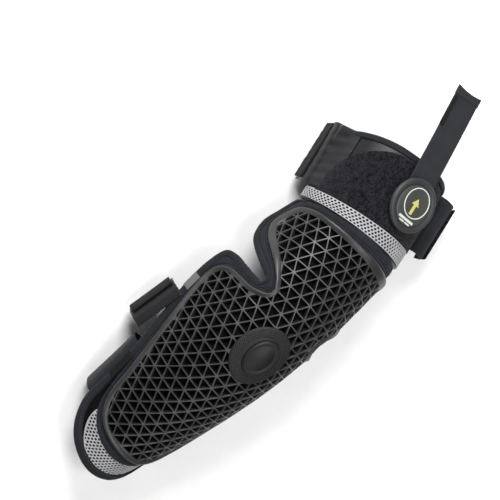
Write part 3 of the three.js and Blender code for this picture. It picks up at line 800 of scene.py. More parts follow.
cells = []
ks = range(int(math.floor(_kap[0])) + 1, int(math.ceil(_kap[-1])))
for k in range(int(np.interp(-128, _ks, _kap)) - 1, int(np.interp(150, _ks, _kap)) + 2):
    for m in range(-10, 10):
        a, b = lattice_node(k, m), lattice_node(k, m + 1)
        up = lattice_node(k + 1, m + (k % 2))
        dn = lattice_node(k - 1, m + (k % 2))
        cells.append(np.array([a, b, up]))
        cells.append(np.array([a, b, dn]))
holes = []
mid = np.array([c.mean(0) for c in cells])
T_TOP = 0.42
for c in cells:
    h = inset_cell(c, T_TOP)
    ctr = h.mean(0)
    if np.hypot(*ctr) < DISC_R - 3:
        continue
    dmin = np.min(np.hypot(CLIP[:, 0] - ctr[0], CLIP[:, 1] - ctr[1]))
    inn = inside(h, CLIP)
    if dmin > 9:
        if inn.all():
            holes.append((h, None))
        continue
    if inn.all() and dmin > 7.8:
        holes.append((h, None))
        continue
    if not inn.any():
        continue
    q = clip_convex(CLIP_LIST, h.tolist())
    if len(q) > 3:
        q = np.array(q)
        A = abs(polygon_area(q))
        per = np.linalg.norm(q - np.roll(q, -1, 0), axis=1).sum()
        if A > 5.0 and 2 * A / per > 0.85:
            if polygon_area(q) < 0:
                q = q[::-1]
            holes.append((q, None))
done = []
for q, _ in holes:
    A = abs(polygon_area(q))
    per = np.linalg.norm(q - np.roll(q, -1, 0), axis=1).sum()
    far = np.hypot(q[:, 0], q[:, 1])
    if far.min() < DISC_R - 1.5:
        keep = np.where(far < DISC_R - 1.2)[0]
        qq = q.copy()
        for i in keep:
            qq[i] = q[i] / far[i] * (DISC_R - 1.2)
        A2 = abs(polygon_area(qq))
        if A2 < 6:
            continue
        q = qq
        per = np.linalg.norm(q - np.roll(q, -1, 0), axis=1).sum()
        A = A2
    done.append((q, 2 * A / per))
t = np.linspace(0, 2 * math.pi, 73)[:-1]
disc_hole = np.c_[20.5 * np.cos(t), 20.5 * np.sin(t)]
done.append((disc_hole, 20.5))
steiner = []
plate_out = sh_off(2.2)
shell = build_perforated("lattice_shell", plate_out, done, [(0.2, -0.32), (0.34, -2.4), (0.6, -5.0)], 0.0, M_SHELL, 42)
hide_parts("upper_shell", "forearm_shell")
flexes(shell)

# the moulded bead round the shell: a flat-topped lip that falls away outside
w_in, w_out = RIM_IN, 4.4 + 0 * RIM_IN
rows = []
for f, r in ((0.0, -4.7), (0.0, -0.3), (0.05, 0.12), (0.16, 0.5), (0.32, 0.95), (0.5, 1.4), (0.66, 1.6), (0.78, 1.5), (0.88, 1.05), (0.95, 0.3), (1.0, -1.0),
             (1.0, -4.7)):
    c = sh_off(w_in + (w_out - w_in) * f)
    rows.append(on(c[:, 0], c[:, 1], r))
rim = loft("shell_bead", rows, M_RIM, closed=True, sharp=50)
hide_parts("upper_shell_rim", "forearm_shell_rim")
flexes(rim)

# the padded border: a narrow welt beside the bead, then a crowned band
W1 = 4.3
rows = []


def lerp_c(a, b, f):
    return a + (b - a) * f


room = np.einsum("ij,ij->i", S_OUT - sh_off(4.4), SH_N)
welt = np.clip(room * 0.45, 1.2, 3.0)
g0, g1 = sh_off(4.3), sh_off(4.4 + welt)
for c, r in ((sh_off(3.4), -4.9), (sh_off(3.4), -2.9), (g0, -2.7), (lerp_c(g0, g1, 0.25), -1.95), (lerp_c(g0, g1, 0.5), -1.65),
             (lerp_c(g0, g1, 0.8), -1.9), (g1, -2.9)):
    rows.append(on(c[:, 0], c[:, 1], r))
run = np.arange(N_OUT) * (cumlen(EDGE)[-1] / (N_OUT - 1))
pucker = 0.16 * np.sin(run / 3.3 + 1.5 * np.sin(run / 19)) + 0.14 * np.sin(run / 7.9 + 2.0 * np.sin(run / 31))
for f, r, w_ in ((0.06, -2.35, 0.3), (0.2, -1.85, 0.8), (0.42, -1.6, 1.0), (0.65, -1.65, 1.0), (0.85, -2.0, 0.7), (0.96, -2.5, 0.2), (1.03, -3.2, 0), (1.03, -4.9, 0),
                 (0.5, -5.1, 0)):
    c = lerp_c(g1, S_OUT, f)
    rows.append(on(c[:, 0], c[:, 1], r + w_ * pucker))
border = loft("padded_border", rows, M_BORDER, closed=True, sharp=60)
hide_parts("upper_sleeve", "forearm_sleeve")
flexes(border)

# the edge binding: a folded tape round the forearm part and up both sides of the elbow notch
first = int(np.searchsorted(U_PAR, nF + 6.55))
last = int(np.searchsorted(U_PAR, nF + 2 * 11 - 2 - 6.55))
sel = np.concatenate([np.arange(last, N_OUT), np.arange(0, first + 1)])
EO, BI = EDGE[sel], BIND_IN[sel]
EN = EDGE_N[sel]
rows = []
for f, r in ((-0.10, -4.9), (-0.10, -2.7), (-0.03, -2.0), (0.06, -1.35), (0.2, -0.95), (0.42, -0.8), (0.66, -0.95), (0.84, -1.5), (0.95, -2.4), (1.0, -3.5),
             (0.97, -4.7), (0.86, -5.6), (0.6, -6.0), (0.2, -5.8)):
    c = lerp_c(BI, EO, f)
    rows.append(on(c[:, 0], c[:, 1], r))
binding = loft("edge_tape", rows, M_BINDING, sharp=60)
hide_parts("forearm_edge_binding", "upper_edge_binding_near", "upper_edge_binding_far")
flexes(binding)

# ------------------------------------------------------------------ stitching
def stitches(name, P2, r, pitch=3.3, length=2.3, width=0.5, closed=False, mat=None, rise=0.3):
    """Small thread stitches along the flat polyline P2 (station, arc), standing rise above height r."""
    P2 = np.asarray(P2, float)
    if closed:
        P2 = np.concatenate([P2, P2[:1]])
    l = np.concatenate([[0], np.cumsum(np.linalg.norm(np.diff(P2, axis=0), axis=1))])
    n = max(int(l[-1] / pitch), 1)
    V, F, fl = [], [], []
    rr = np.interp
    for i in range(n):
        a = (i + 0.5) * l[-1] / n
        t = np.array([a - length / 2, a - length / 4, a + length / 4, a + length / 2])
        c = np.stack([np.interp(t, l, P2[:, 0]), np.interp(t, l, P2[:, 1])], -1)
        d = c[-1] - c[0]
        d /= max(np.linalg.norm(d), 1e-6)
        q = np.array([-d[1], d[0]])
        h = np.array([-0.1, 1.0, 1.0, -0.1]) * rise
        w = np.array([0.35, 1, 1, 0.35]) * width / 2
        rz = r if np.isscalar(r) else np.interp(t, l, r)
        base = len(V)
        for side, lift in ((-1, -0.35), (-0.6, 0.7), (0.6, 0.7), (1, -0.35)):
            p = c + q * (w * side)[:, None]
            V.extend(on(p[:, 0], p[:, 1], rz + h * (1 if lift > 0 else 0) * lift + (lift if lift < 0 else 0) * rise).tolist())
            fl.extend([[x, side, 0] for x in t])
        for k in range(4):
            a4, b4 = base + 4 * k, base + 4 * ((k + 1) % 4)
            for j in range(3):
                F.append([a4 + j, a4 + j + 1, b4 + j + 1, b4 + j])
        F.append([base, base + 4, base + 8, base + 12])
        F.append([base + 15, base + 11, base + 7, base + 3])
    return make(name, world(np.array(V)), F, mat or M_THREAD, fl, 50)


seam1 = stitches("border_seam_stitches", lerp_c(g1, S_OUT, 0.14), -1.95, closed=True)
flexes(seam1)
c = lerp_c(BI, EO, 0.12)
seam2 = stitches("tape_seam_stitches", c, -1.15)
flexes(seam2)

# ------------------------------------------------------------------ elbow cap: knurled disc and oval boss
def dome(name, rows, ra, rb, mat, seg=96, at=(0.0, 0.0), turn=0.0, relief=None, sharp=40):
    """A round or oval piece on the limb surface from rows of (radius, height)."""
    ang = np.linspace(0, 2 * math.pi, seg + 1)[:-1]
    V, fl, F = [], [], []
    n = len(rows)
    for j, (q, h) in enumerate(rows):
        x = q * ra * np.cos(ang)
        y = q * rb * np.sin(ang)
        xs = x * math.cos(turn) - y * math.sin(turn)
        ys = x * math.sin(turn) + y * math.cos(turn)
        hh = np.full(seg, float(h))
        if relief is not None:
            hh = hh + relief(q, ang, h)
        V.append(on(at[0] + xs, at[1] + ys, hh))
        fl.append(np.stack([xs, ys, hh], -1))
    V, fl = np.concatenate(V), np.concatenate(fl)
    for j in range(n - 1):
        for i in range(seg):
            k = (i + 1) % seg
            F.append([j * seg + i, j * seg + k, (j + 1) * seg + k, (j + 1) * seg + i])
    F.append(list(range(seg))[::-1])
    F.append([(n - 1) * seg + i for i in range(seg)])
    return make(name, world(V), F, mat, fl, sharp)


def knurl(q, ang, h):
    if h < 0.8 or q < 17.0 or q > 25.2:
        return 0.0
    a = np.sin(ang * 26 + q * math.pi / 2.1) * np.sin(ang * 26 - q * math.pi / 2.1)
    edge = min(1.0, (q - 17.0) / 0.8, (25.2 - q) / 0.8)
    return edge * 0.8 * np.sqrt(np.clip(np.abs(a) - 0.12, 0, 1))


disc_rows = [(19.0, -4.9), (25.4, -4.9), (25.9, -1.0), (26.2, 0.3), (26.0, 0.75)] + [(25.6 - 0.4 * i, 1.05) for i in range(22)] + [(16.6, 1.3), (15.0, 1.5), (8, 1.55), (2.0, 1.6)]
disc = dome("elbow_disc", disc_rows, 1, 1, M_CAP, 288, relief=knurl, sharp=60)
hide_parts("elbow_cap_disc")
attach(disc, "forearm")
boss_rows = [(12.0, 1.3), (16.0, 1.3), (16.4, 1.7), (16.5, 2.6), (16.2, 3.6), (15.4, 4.4), (14.6, 4.75), (13.8, 4.8), (13.1, 4.5), (12.5, 4.1), (11.8, 4.0), (10.5, 4.3),
             (8.5, 4.75), (6, 5.1), (3.5, 5.3), (1.0, 5.4)]
boss = dome("oval_boss", boss_rows, 1.0, 13.5 / 16.5, M_BOSS, 96, sharp=60)
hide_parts("elbow_boss")
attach(boss, "forearm")

# ------------------------------------------------------------------ foam pad and lining, in one piece across the elbow
PAD_HALF = np.array([[-130, 87], [-108, 89], [-86, 89], [-74, 84], [-65, 68], [-56, 51], [-42, 38], [-38, 38], [-30, 54], [-26, 79], [-22, 91], [-8, 94], [15, 90],
                     [38, 81], [70, 71], [96, 63], [116, 58], [130, 52], [144, 42], [154, 28], [160, 14]], float)


def pad_grid(n_s, n_y, r, shrink=0.0):
    s = -130 + 290 * eased(n_s, (0, 0.003, 0.008))
    v = eased(n_y, (0, 0.006, 0.02))
    half_a = np.interp(s, PAD_HALF[:, 0], PAD_HALF[:, 1])
    half_mm = arc(s, half_a) - shrink
    Y = (2 * v[None, :] - 1) * half_mm[:, None]
    S = np.repeat(s[:, None], len(v), 1)
    return S, Y, on(S, Y, r), s, v


S, Y, P, s1, v1 = pad_grid(150, 60, -7.6)
er = edge_round(np.linspace(0, 1, len(s1)), v1, 290, 150, 5)
quilt = 0.45 * (np.cos(2 * math.pi * S / 24) * np.cos(2 * math.pi * Y / 24))
foam = plate("foam_pad", P, 1.75 * er, M_FOAM, lift=-0.2 + 0 * quilt, lower=0.15 * quilt)
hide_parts("upper_pad", "forearm_pad")
flexes(foam)
S, Y, P, s1, v1 = pad_grid(110, 60, -11.6)
er = edge_round(s1 * 0 + np.linspace(0, 1, len(s1)), v1, 290, 150, 3)
knit = 0.18 * np.cos(2 * math.pi * S / 6) * np.cos(2 * math.pi * Y / 6)
lining = plate("knit_lining", P, 0.55 * er, M_LINING, lower=knit)
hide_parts("upper_lining", "forearm_lining")
sheet(lining, "laid", rests_on=["foam_pad"])
flexes(lining)

# ------------------------------------------------------------------ silver spacer mesh
def mesh_cells(s0, s1, y0, y1, row=2.45, pitch=4.3, half_l=1.62, half_w=1.08, lean=0.12):
    """Elongated six-sided holes on a staggered grid."""
    out = []
    j0, j1 = int(math.floor(s0 / row)), int(math.ceil(s1 / row))
    for j in range(j0, j1 + 1):
        off = 0.5 * pitch * (j % 2)
        for i in range(int(math.floor(y0 / pitch)) - 1, int(math.ceil(y1 / pitch)) + 1):
            c = np.array([j * row, i * pitch + off])
            shape = np.array([[0, -half_l], [half_w, -half_l * 0.5], [half_w, half_l * 0.5], [0, half_l], [-half_w, half_l * 0.5], [-half_w, -half_l * 0.5]])
            ca, sa = math.cos(lean), math.sin(lean)
            shape = np.stack([shape[:, 0] * ca - shape[:, 1] * sa, shape[:, 0] * sa + shape[:, 1] * ca], -1)
            out.append(c + shape)
    return out


def perforated_sheet(name, outline, cells_, layer, mat, margin=0.9, sharp=50):
    outline = np.asarray(outline)
    if polygon_area(outline) < 0:
        outline = outline[::-1]
    n2 = normals2d(outline)
    c = outline.mean(0)
    keep = outline + n2 * margin      # left of a counter-clockwise outline is inside
    hs = []
    lst = keep.tolist()
    for h in cells_:
        if polygon_area(h) < 0:
            h = h[::-1]
        if inside(h, keep).all():
            A = abs(polygon_area(h))
            per = np.linalg.norm(h - np.roll(h, -1, 0), axis=1).sum()
            hs.append((h, 2 * A / per))
        elif inside(h, keep).any():
            q = clip_convex(lst, h.tolist())
            if len(q) > 3:
                q = np.array(q)
                A = abs(polygon_area(q))
                per = np.linalg.norm(q - np.roll(q, -1, 0), axis=1).sum()
                if A > 1.2 and 2 * A / per > 0.3:
                    hs.append((q if polygon_area(q) > 0 else q[::-1], 2 * A / per))
    top, bot = layer
    ob = build_perforated(name, outline, hs, [(0.16, top - 0.28), (0.2, (top + bot) / 2), (0.05, bot)], top, mat, sharp)
    return ob, len(hs)


def mesh_sheet(ob, outline):
    """Work out an open mesh's flat cut, the outline's own box, and the share of it left as cloth round the holes; the
    values are not kept.
    """
    o2 = np.asarray(outline)
    w, l = np.ptp(o2, axis=0) * MM
    A = sum(p.area for p in ob.data.polygons) / 2
    k = A / (w * l)
    if k < 0.31:
        w *= k / 0.31
        k = 0.31


def dense(poly, step=2.0):
    poly = np.asarray(poly, float)
    q = np.concatenate([poly, poly[:1]])
    l = np.concatenate([[0], np.cumsum(np.linalg.norm(np.diff(q, axis=0), axis=1))])
    n = int(l[-1] / step)
    t = np.linspace(0, l[-1], n + 1)[:-1]
    return np.stack([np.interp(t, l, q[:, 0]), np.interp(t, l, q[:, 1])], -1)


# wrist crescent: between the border's outer line and the binding
wsel = np.concatenate([np.arange(int(np.searchsorted(U_PAR, NROW - 4.75)), N_OUT), np.arange(0, int(np.searchsorted(U_PAR, 4.75)) + 1)])
inner_c = lerp_c(S_OUT, BIND_IN, 0.0)[wsel]
outer_c = BIND_IN[wsel] + EDGE_N[wsel] * 0.8
# on the near side it tapers out under the border
taper = np.where(inner_c[:, 1] < 0, np.clip((inner_c[:, 0] - 140) / 16, 0, 1) ** 0.7, 1.0)
kept = taper > 0.04
cres = dense(np.concatenate([(inner_c - SH_N[wsel] * 0.8)[kept], (inner_c + (outer_c - inner_c) * taper[:, None])[kept][::-1]]), 1.6)
wrist, nh = perforated_sheet("wrist_mesh", cres, mesh_cells(90, 185, -90, 90), (-2.8, -4.2), M_SILVER)
print("wrist mesh holes", nh)
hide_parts("wrist_mesh_panel")
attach(wrist, "forearm")
mesh_sheet(wrist, cres)
# a dark layer under it
nn = 9
back_grid = np.stack([lerp_c(inner_c - SH_N[wsel] * 2.0, BIND_IN[wsel] + EDGE_N[wsel] * 3.0, f) for f in np.linspace(0, 1, nn)], 1)
P = on(back_grid[..., 0], back_grid[..., 1], -5.3)
wback = plate("wrist_mesh_backing", P, 0.45, M_FOAM)
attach(wback, "forearm")
sheet(wback, "stretched")

# band across the upper arm
ys = np.linspace(-float(arc(-140, 90)) - 4, float(arc(-140, 90)) + 4, 100)
lo = np.interp(ys, S_OUT[np.argsort(S_OUT[:, 1])][:, 1], S_OUT[np.argsort(S_OUT[:, 1])][:, 0])
front = np.array([-133.2 + 0 * y for y in ys])
band = np.concatenate([np.c_[front, ys], np.c_[np.full(100, -147.0), ys[::-1]]])
bmesh_, nh = perforated_sheet("upper_mesh", dense(band, 1.8), mesh_cells(-150, -130, -100, 100), (0.0, -1.0), M_SILVER, margin=0.7)
print("band holes", nh)
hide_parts("upper_mesh_band")
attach(bmesh_, "upper")
mesh_sheet(bmesh_, band)

# ------------------------------------------------------------------ cuff
CUFF_END, CUFF_LEG = -217.0, 8.0


def end_curve(y, amp, base):
    return base + amp * (np.maximum(0, np.abs(y) - 24) / 66) ** 1.6


def cuff_grid(nu, nv, r, s_from=-131.0, inset=0.0):
    u = eased(nu, (0, 0.006, 0.02))
    v = eased(nv, (0, 0.004, 0.012))
    y1 = float(arc(-175, 90)) + CUFF_LEG
    Yv = (2 * v - 1) * y1
    e = end_curve(Yv, 10, CUFF_END) + inset
    S = s_from + (e[None, :] - s_from) * u[:, None]
    Y = np.repeat(Yv[None, :], len(u), 0)
    return S, Y, on(S, Y, r), u, v


S, Y, P, u1, v1 = cuff_grid(50, 110, -3.1)
er = edge_round(u1, v1, 85, 195, 2.0)
soft = 0.35 * (value_noise(*S.shape, 14, 3) - 0.5)
cuff = plate("cuff_body", P, 1.5 * er, M_SMOOTH, lift=soft)
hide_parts("cuff_backing")
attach(cuff, "upper")
sheet(cuff, "stretched")
S, Y, P, u1, v1 = cuff_grid(40, 90, -5.5)
er = edge_round(u1, v1, 85, 195, 2.0)
clin = plate("cuff_knit_lining", P, 0.6 * er, M_LINING, lower=0.15 * np.cos(2 * math.pi * S / 6) * np.cos(2 * math.pi * Y / 6))
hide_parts("cuff_lining")
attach(clin, "upper")
sheet(clin, "laid", rests_on=["cuff_body"])

# rolled binding at the open end
y1 = float(arc(-215, 90)) + CUFF_LEG
yy = np.linspace(-y1, y1, 160)
se = end_curve(yy, 10, CUFF_END)
rows = []
for ds, r in ((4.6, 0.0), (3.6, 0.45), (2.0, 0.6), (0.4, 0.3), (-0.8, -0.6), (-1.3, -2.0), (-1.2, -3.8), (-0.3, -5.4), (1.6, -6.3), (3.6, -6.4), (4.6, -6.2), (4.6, -4.8),
              (1.4, -4.4), (1.4, -1.3), (4.6, -1.2)):
    rows.append(on(se + ds, yy, r))
cb = loft("cuff_roll", rows, M_BINDING, sharp=70)
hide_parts("cuff_end_binding")
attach(cb, "upper")
st = stitches("cuff_roll_stitches", np.c_[se + 3.4, yy], 0.42)
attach(st, "upper")

# loop-pile panel
LP = np.array([[-80, -150.0], [-77.5, -160], [-75.5, -170], [-71.5, -178.5], [-63.5, -188], [-54, -197], [-42, -204.5], [-29, -209.5], [-7, -212.5], [16, -213], [40, -209],
               [60, -200], [80, -187]], float)
n_a, n_b = 90, 200
vb = eased(n_b, (0, 0.002, 0.006))
ya = -80.5 + vb * (80.5 + float(arc(-165, 80)))
send = np.interp(ya, LP[:, 0], LP[:, 1])
send = np.convolve(np.pad(send, 6, mode="edge"), np.ones(13) / 13, "valid")
ua = eased(n_a, (0, 0.006, 0.015))
S = -146.4 + (send[None, :] + 146.4) * ua[:, None]
Y = np.repeat(ya[None, :], len(ua), 0)
P = on(S, Y, -0.15)
er = edge_round(ua, vb, 62, 170, 1.6)
tuft = value_noise(len(ua), len(vb), 2.4, 11) ** 1.5 * 0.8 + value_noise(len(ua), len(vb), 1.2, 12) * 0.45 + 0.35 * value_noise(len(ua), len(vb), 9, 13)
loop = plate("loop_panel", P, 0.9 * er, M_LOOP, lift=np.maximum(tuft - 0.5, -0.15) * 1.3 * er, sharp=180)
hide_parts("upper_loop_panel")
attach(loop, "upper")
sheet(loop, "laid", rests_on=["cuff_body"])


# ------------------------------------------------------------------ pieces given by a path in the section plane
def plane_path(rows, n):
    rows = np.asarray(rows, float)
    q = cr(rows, np.linspace(0, len(rows) - 1, 400))
    l = np.concatenate([[0], np.cumsum(np.linalg.norm(np.diff(q, axis=0), axis=1))])
    t = eased(n, (0, 0.006, 0.02)) * l[-1]
    return np.stack([np.interp(t, l, q[:, 0]), np.interp(t, l, q[:, 1])], -1), t / l[-1]


def hung(name, path, s0, s1, half, mat, n=60, m=40, wob=0.0, sharp=55, fn_s=None, lift=None):
    """A strip of cloth: path(s) gives rows [lateral, up] in the section plane at station s."""
    us = eased(m, (0, 0.008, 0.025))
    v = None
    cols = []
    for u in us:
        s = s0 + (s1 - s0) * u
        q, v = plane_path(path(s), n)
        ss = np.full(len(q), s) if fn_s is None else fn_s(u, v)
        cols.append(place(ss, q[:, 0], q[:, 1]))
    P = np.stack(cols, 0)
    L_v = np.linalg.norm(np.diff(P[len(P) // 2], axis=0), axis=1).sum()
    er = edge_round(us, v, abs(s1 - s0), L_v, 1.2)
    lf = None if lift is None else lift(us, v) * er
    ob = plate(name, P, half * er, mat, sharp, lift=lf)
    return ob, P


CRING_S = (-208.0, -150.0)


def cuff_ring(s):
    R = float(radius(s)) - 3
    lo, c, D = -CUFF_LEG - 0.35, 14.0, 22.0
    pts = [[-(R + 0.4), lo + 9.0]]
    for i in range(6):
        f = i / 5 * math.pi / 2
        pts.append([-(R - c + c * math.cos(f)), lo - (D - CUFF_LEG - 0.35) * math.sin(f)])
    for k in (0.5, 0, -0.5):
        pts.append([-(R - c) * k, -D])
    for i in range(5, -1, -1):
        f = i / 5 * math.pi / 2
        pts.append([R - c + c * math.cos(f), lo - (D - CUFF_LEG - 0.35) * math.sin(f)])
    pts.append([R + 0.4, lo + 9.0])
    return pts


ribs = lambda us, v: 0.12 * np.sin(np.outer(us * 58 / 2.4 * 2 * math.pi, np.ones(len(v))))
ce, _ = hung("cuff_elastic_web", cuff_ring, CRING_S[0], CRING_S[1], 0.9, M_ELASTIC, n=110, m=60, lift=ribs)
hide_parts("cuff_elastic")
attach(ce, "upper")
sheet(ce, "stretched")


def edge_arc(s):
    rows_ = np.array(F_EDGE[6:12], float)
    return float(arc(s, np.interp(s, rows_[:, 0], rows_[:, 1]))) + 1.4


def forearm_ring(s):
    lat, up, nl, nu = (float(x) for x in section(s, edge_arc(s)))
    lat0, up0, nl0, nu0 = (float(x) for x in section(s, edge_arc(s) - 7))
    y, z = lat - nl * 3.4, up - nu * 3.4
    y0, z0 = lat0 - nl0 * 7.0, up0 - nu0 * 7.0
    D = 22.0
    return [[-y0, z0], [-y, z - 1.5], [-y - 1.8, z - 6], [-y + 4, -18.5], [-y + 15, -D], [-(y - 15) / 2, -D], [0, -D], [(y - 15) / 2, -D], [y - 15, -D], [y - 4, -18.5],
            [y + 1.8, z - 6], [y, z - 1.5], [y0, z0]]


ribs2 = lambda us, v: 0.12 * np.sin(np.outer(us * 62 / 2.4 * 2 * math.pi, np.ones(len(v))))
fe, _ = hung("forearm_elastic_web", forearm_ring, 78, 140, 0.9, M_ELASTIC, n=120, m=64, lift=ribs2)
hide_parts("forearm_elastic_band")
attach(fe, "forearm")
sheet(fe, "stretched")

# closure wing, its hook tab, and the far flap
U_TAB = (-149.0, -211.0)


WING = [[-60.9, 3], [-63.0, -1], [-64.2, -6], [-63.2, -12], [-62.4, -17], [-62.0, -22]]


def wing_path(s):
    """From under the loop panel, over a soft fold, and down the side of the cuff; the fold is fuller toward the open end."""
    f = (s - U_TAB[0]) / (U_TAB[1] - U_TAB[0])
    rows_ = []
    for d, r in ((66, -0.9), (76, -0.1)):
        lat, up, nl, nu = (float(x) for x in section(s, -float(arc(s, d))))
        rows_.append([lat + nl * r, up + nu * r])
    full = 0.5 + 2.4 * f * f
    return rows_ + [[a - full * w_, b + 0.6 * full * w_] for (a, b), w_ in zip(WING, (0.6, 1.0, 0.8, 0.2, 0, 0))]


creases = lambda us, v: 0.5 * np.outer(np.sin(us * 15.0) ** 2, np.exp(-((v - 0.35) / 0.16) ** 2)) + 0.12 * np.sin(np.add.outer(us * 40, v * 9))
wing, WP = hung("closure_wing_web", wing_path, U_TAB[0], U_TAB[1], 0.85, M_WING, n=90, m=70, lift=creases)
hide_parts("upper_closure_elastic")
sheet(wing, "hung", rests_on=["cuff_body"])
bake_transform(wing)

tufty = lambda seed: (lambda us, v: 0.5 * (value_noise(len(us), len(v), 2.2, seed) - 0.3))
hook, _ = hung("closure_hook_tab", lambda s: [[-66.9, -7.0], [-66.0, -10.5], [-65.5, -14], [-64.8, -21]], U_TAB[0] - 2, U_TAB[1] + 2, 1.2, M_HOOK, n=26, m=70,
               lift=tufty(21))
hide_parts("upper_closure_hook")
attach(hook, "closure_wing")
sheet(hook, "hung", rests_on=["closure_wing_web"])

FAR = [[60.9, 10], [66, 13], [73.5, 12], [80.5, 7.5], [84, 0], [84.5, -9]]


def far_path(s):
    lat, up, nl, nu = (float(x) for x in section(s, float(arc(s, 66))))
    return [[lat - nl * 0.6, up - nu * 0.6]] + FAR


far, _ = hung("far_flap_web", far_path, -155, -214, 1.2, M_ELASTIC, n=50, m=44, lift=tufty(31))
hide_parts("rear_flap")
sheet(far, "hung", rests_on=["cuff_body"])
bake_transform(far)
farh, _ = hung("far_flap_pile", lambda s: [[83.7, 8.8], [87.4, 0], [88.0, -8.4]], -157, -212, 1.1, M_LOOP, n=22, m=50, lift=tufty(32))
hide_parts("rear_flap_hook")
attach(farh, "far_flap")
sheet(farh, "hung", rests_on=["far_flap_web"])

# forearm tab
TAB = [[-68.9, -4.8], [-70.8, -8], [-72.6, -13], [-73.4, -20], [-72.4, -26]]


def tab_path(s):
    return [[-66.0, -0.5]] + TAB


tab, _ = hung("forearm_tab_web", tab_path, 20, 70, 0.9, M_SMOOTH, n=40, m=40)
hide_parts("forearm_tab_elastic")
sheet(tab, "hung", rests_on=["edge_tape"])
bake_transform(tab)
tabh, _ = hung("forearm_hook_tab", lambda s: [[-75.5, -13.6], [-76.2, -20], [-75.3, -26]], 22, 68, 1.1, M_HOOK, n=20, m=50, lift=tufty(41))
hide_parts("forearm_tab_hook")
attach(tabh, "forearm_tab")
sheet(tabh, "hung", rests_on=["forearm_tab_web"])

# ------------------------------------------------------------------ sewn labels on the near border
def label(name, node, s0, s1, y0, y1, r, mat, thick=0.4, bars=()):
    u, v = eased(14), eased(14)
    S = s0 + (s1 - s0) * u
    if callable(y0):
        Yg = np.stack([y0(s) + (y1(s) - y0(s)) * v for s in S], 0)
    else:
        Yg = np.repeat((y0 + (y1 - y0) * v)[None, :], len(u), 0)
    Sg = np.repeat(S[:, None], len(v), 1)
    er_ = edge_round(u, v, abs(s1 - s0), 10, 0.8)
    ob = plate(name, on(Sg, Yg, r), thick * er_, mat)
    sheet(ob, "laid", rests_on=["edge_tape"])
    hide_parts(node)
    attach(ob, "forearm")
    return ob


side = label("side_tag", "side_label", 88, 114, lambda s: -edge_arc(s) + 2.6, lambda s: -edge_arc(s) + 10.5, -0.35, M_TAG)
border_arc = lambda s: float(arc(s, np.interp(s, [-16, 13, 36], [105, 102, 96])))
woven = label("woven_tag", "woven_label", -2, 14, lambda s: -border_arc(s) + 1.2, lambda s: -border_arc(s) + 9.2, -0.35, M_WOVEN)

# ------------------------------------------------------------------ badge and strap
o = on(-178.5, 7.7, 0.0)
upv = on(-178.5, 7.7, 10.0) - o
upv /= np.linalg.norm(upv)
outv = on(-179.5, 7.7, 0.0) - on(-177.5, 7.7, 0.0)
outv /= np.linalg.norm(outv)
sidev = np.cross(upv, outv)
sidev /= np.linalg.norm(sidev)
outv = np.cross(sidev, upv)
S0, S1 = 1.2, 3.0


def local(x, y, z):
    x, y, z = np.broadcast_arrays(np.asarray(x, float), np.asarray(y, float), np.asarray(z, float))
    return o + x[..., None] * outv + y[..., None] * sidev + z[..., None] * upv


def turned(name, rows, mat, seg=96, centre=(0.0, 0.0), sharp=35, closed=False):
    ang = np.linspace(0, 2 * math.pi, seg + 1)[:-1]
    V, fl = [], []
    for q, h in rows:
        x, y = centre[0] + q * np.cos(ang), centre[1] + q * np.sin(ang)
        V.append(local(x, y, np.full(seg, float(h))))
        fl.append(np.stack([x, y, np.full(seg, float(h))], -1))
    n, F = len(rows), []
    for j in range(n if closed else n - 1):
        jj = (j + 1) % n
        for i in range(seg):
            k = (i + 1) % seg
            F.append([j * seg + i, j * seg + k, jj * seg + k, jj * seg + i])
    if not closed:
        F.append(list(range(seg))[::-1])
        F.append([(n - 1) * seg + i for i in range(seg)])
    return make(name, world(np.concatenate(V)), F, mat, np.concatenate(fl), sharp)


BR = 25.5
base = turned("badge_body", [(1, S1 + 0.5), (24.2, S1 + 0.5), (25.0, S1 + 0.8), (BR, S1 + 1.6), (BR, S1 + 2.9), (25.2, S1 + 3.7), (24.5, S1 + 4.4), (23.6, S1 + 4.75),
                             (22.6, S1 + 4.8), (21.9, S1 + 4.6), (21.2, S1 + 4.3), (20.6, S1 + 4.2), (20.1, S1 + 3.9), (19.9, S1 + 3.3), (19.0, S1 + 3.2), (1, S1 + 3.2)], M_BADGE, 120)
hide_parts("badge_base")
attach(base, "upper")
face = turned("badge_plate", [(1, S1 + 3.4), (18.9, S1 + 3.4), (19.2, S1 + 3.6), (19.2, S1 + 4.0), (18.8, S1 + 4.2), (15, S1 + 4.3), (8, S1 + 4.36), (1, S1 + 4.38)], M_FACE, 96)
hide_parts("badge_face")
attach(face, "upper")
RC = (3.4, -1.5)
ring_ = turned("badge_circle", [(13.55, S1 + 4.2), (13.6, S1 + 4.55), (13.85, S1 + 4.7), (14.35, S1 + 4.7), (14.6, S1 + 4.55), (14.65, S1 + 4.2)], M_WHITE, 96, RC, closed=True)
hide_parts("badge_ring")
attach(ring_, "upper")


def extruded(name, outline, z0, z1, mat, bevel=0.2):
    q = np.asarray(outline, float)
    if polygon_area(q) < 0:
        q = q[::-1]
    n = len(q)
    nn2 = normals2d(q)
    lines = [(q, z0), (q, z1 - bevel), (q + nn2 * bevel, z1)]
    V = [local(a[:, 0], a[:, 1], np.full(n, z)) for a, z in lines]
    fl = [np.c_[a, np.full(n, z)] for a, z in lines]
    F = []
    for j in range(2):
        for i in range(n):
            k = (i + 1) % n
            F.append([j * n + i, j * n + k, (j + 1) * n + k, (j + 1) * n + i])
    F.append(list(range(n))[::-1])
    F.append([2 * n + i for i in range(n)])
    return make(name, world(np.concatenate(V)), F, mat, np.concatenate(fl), 35)


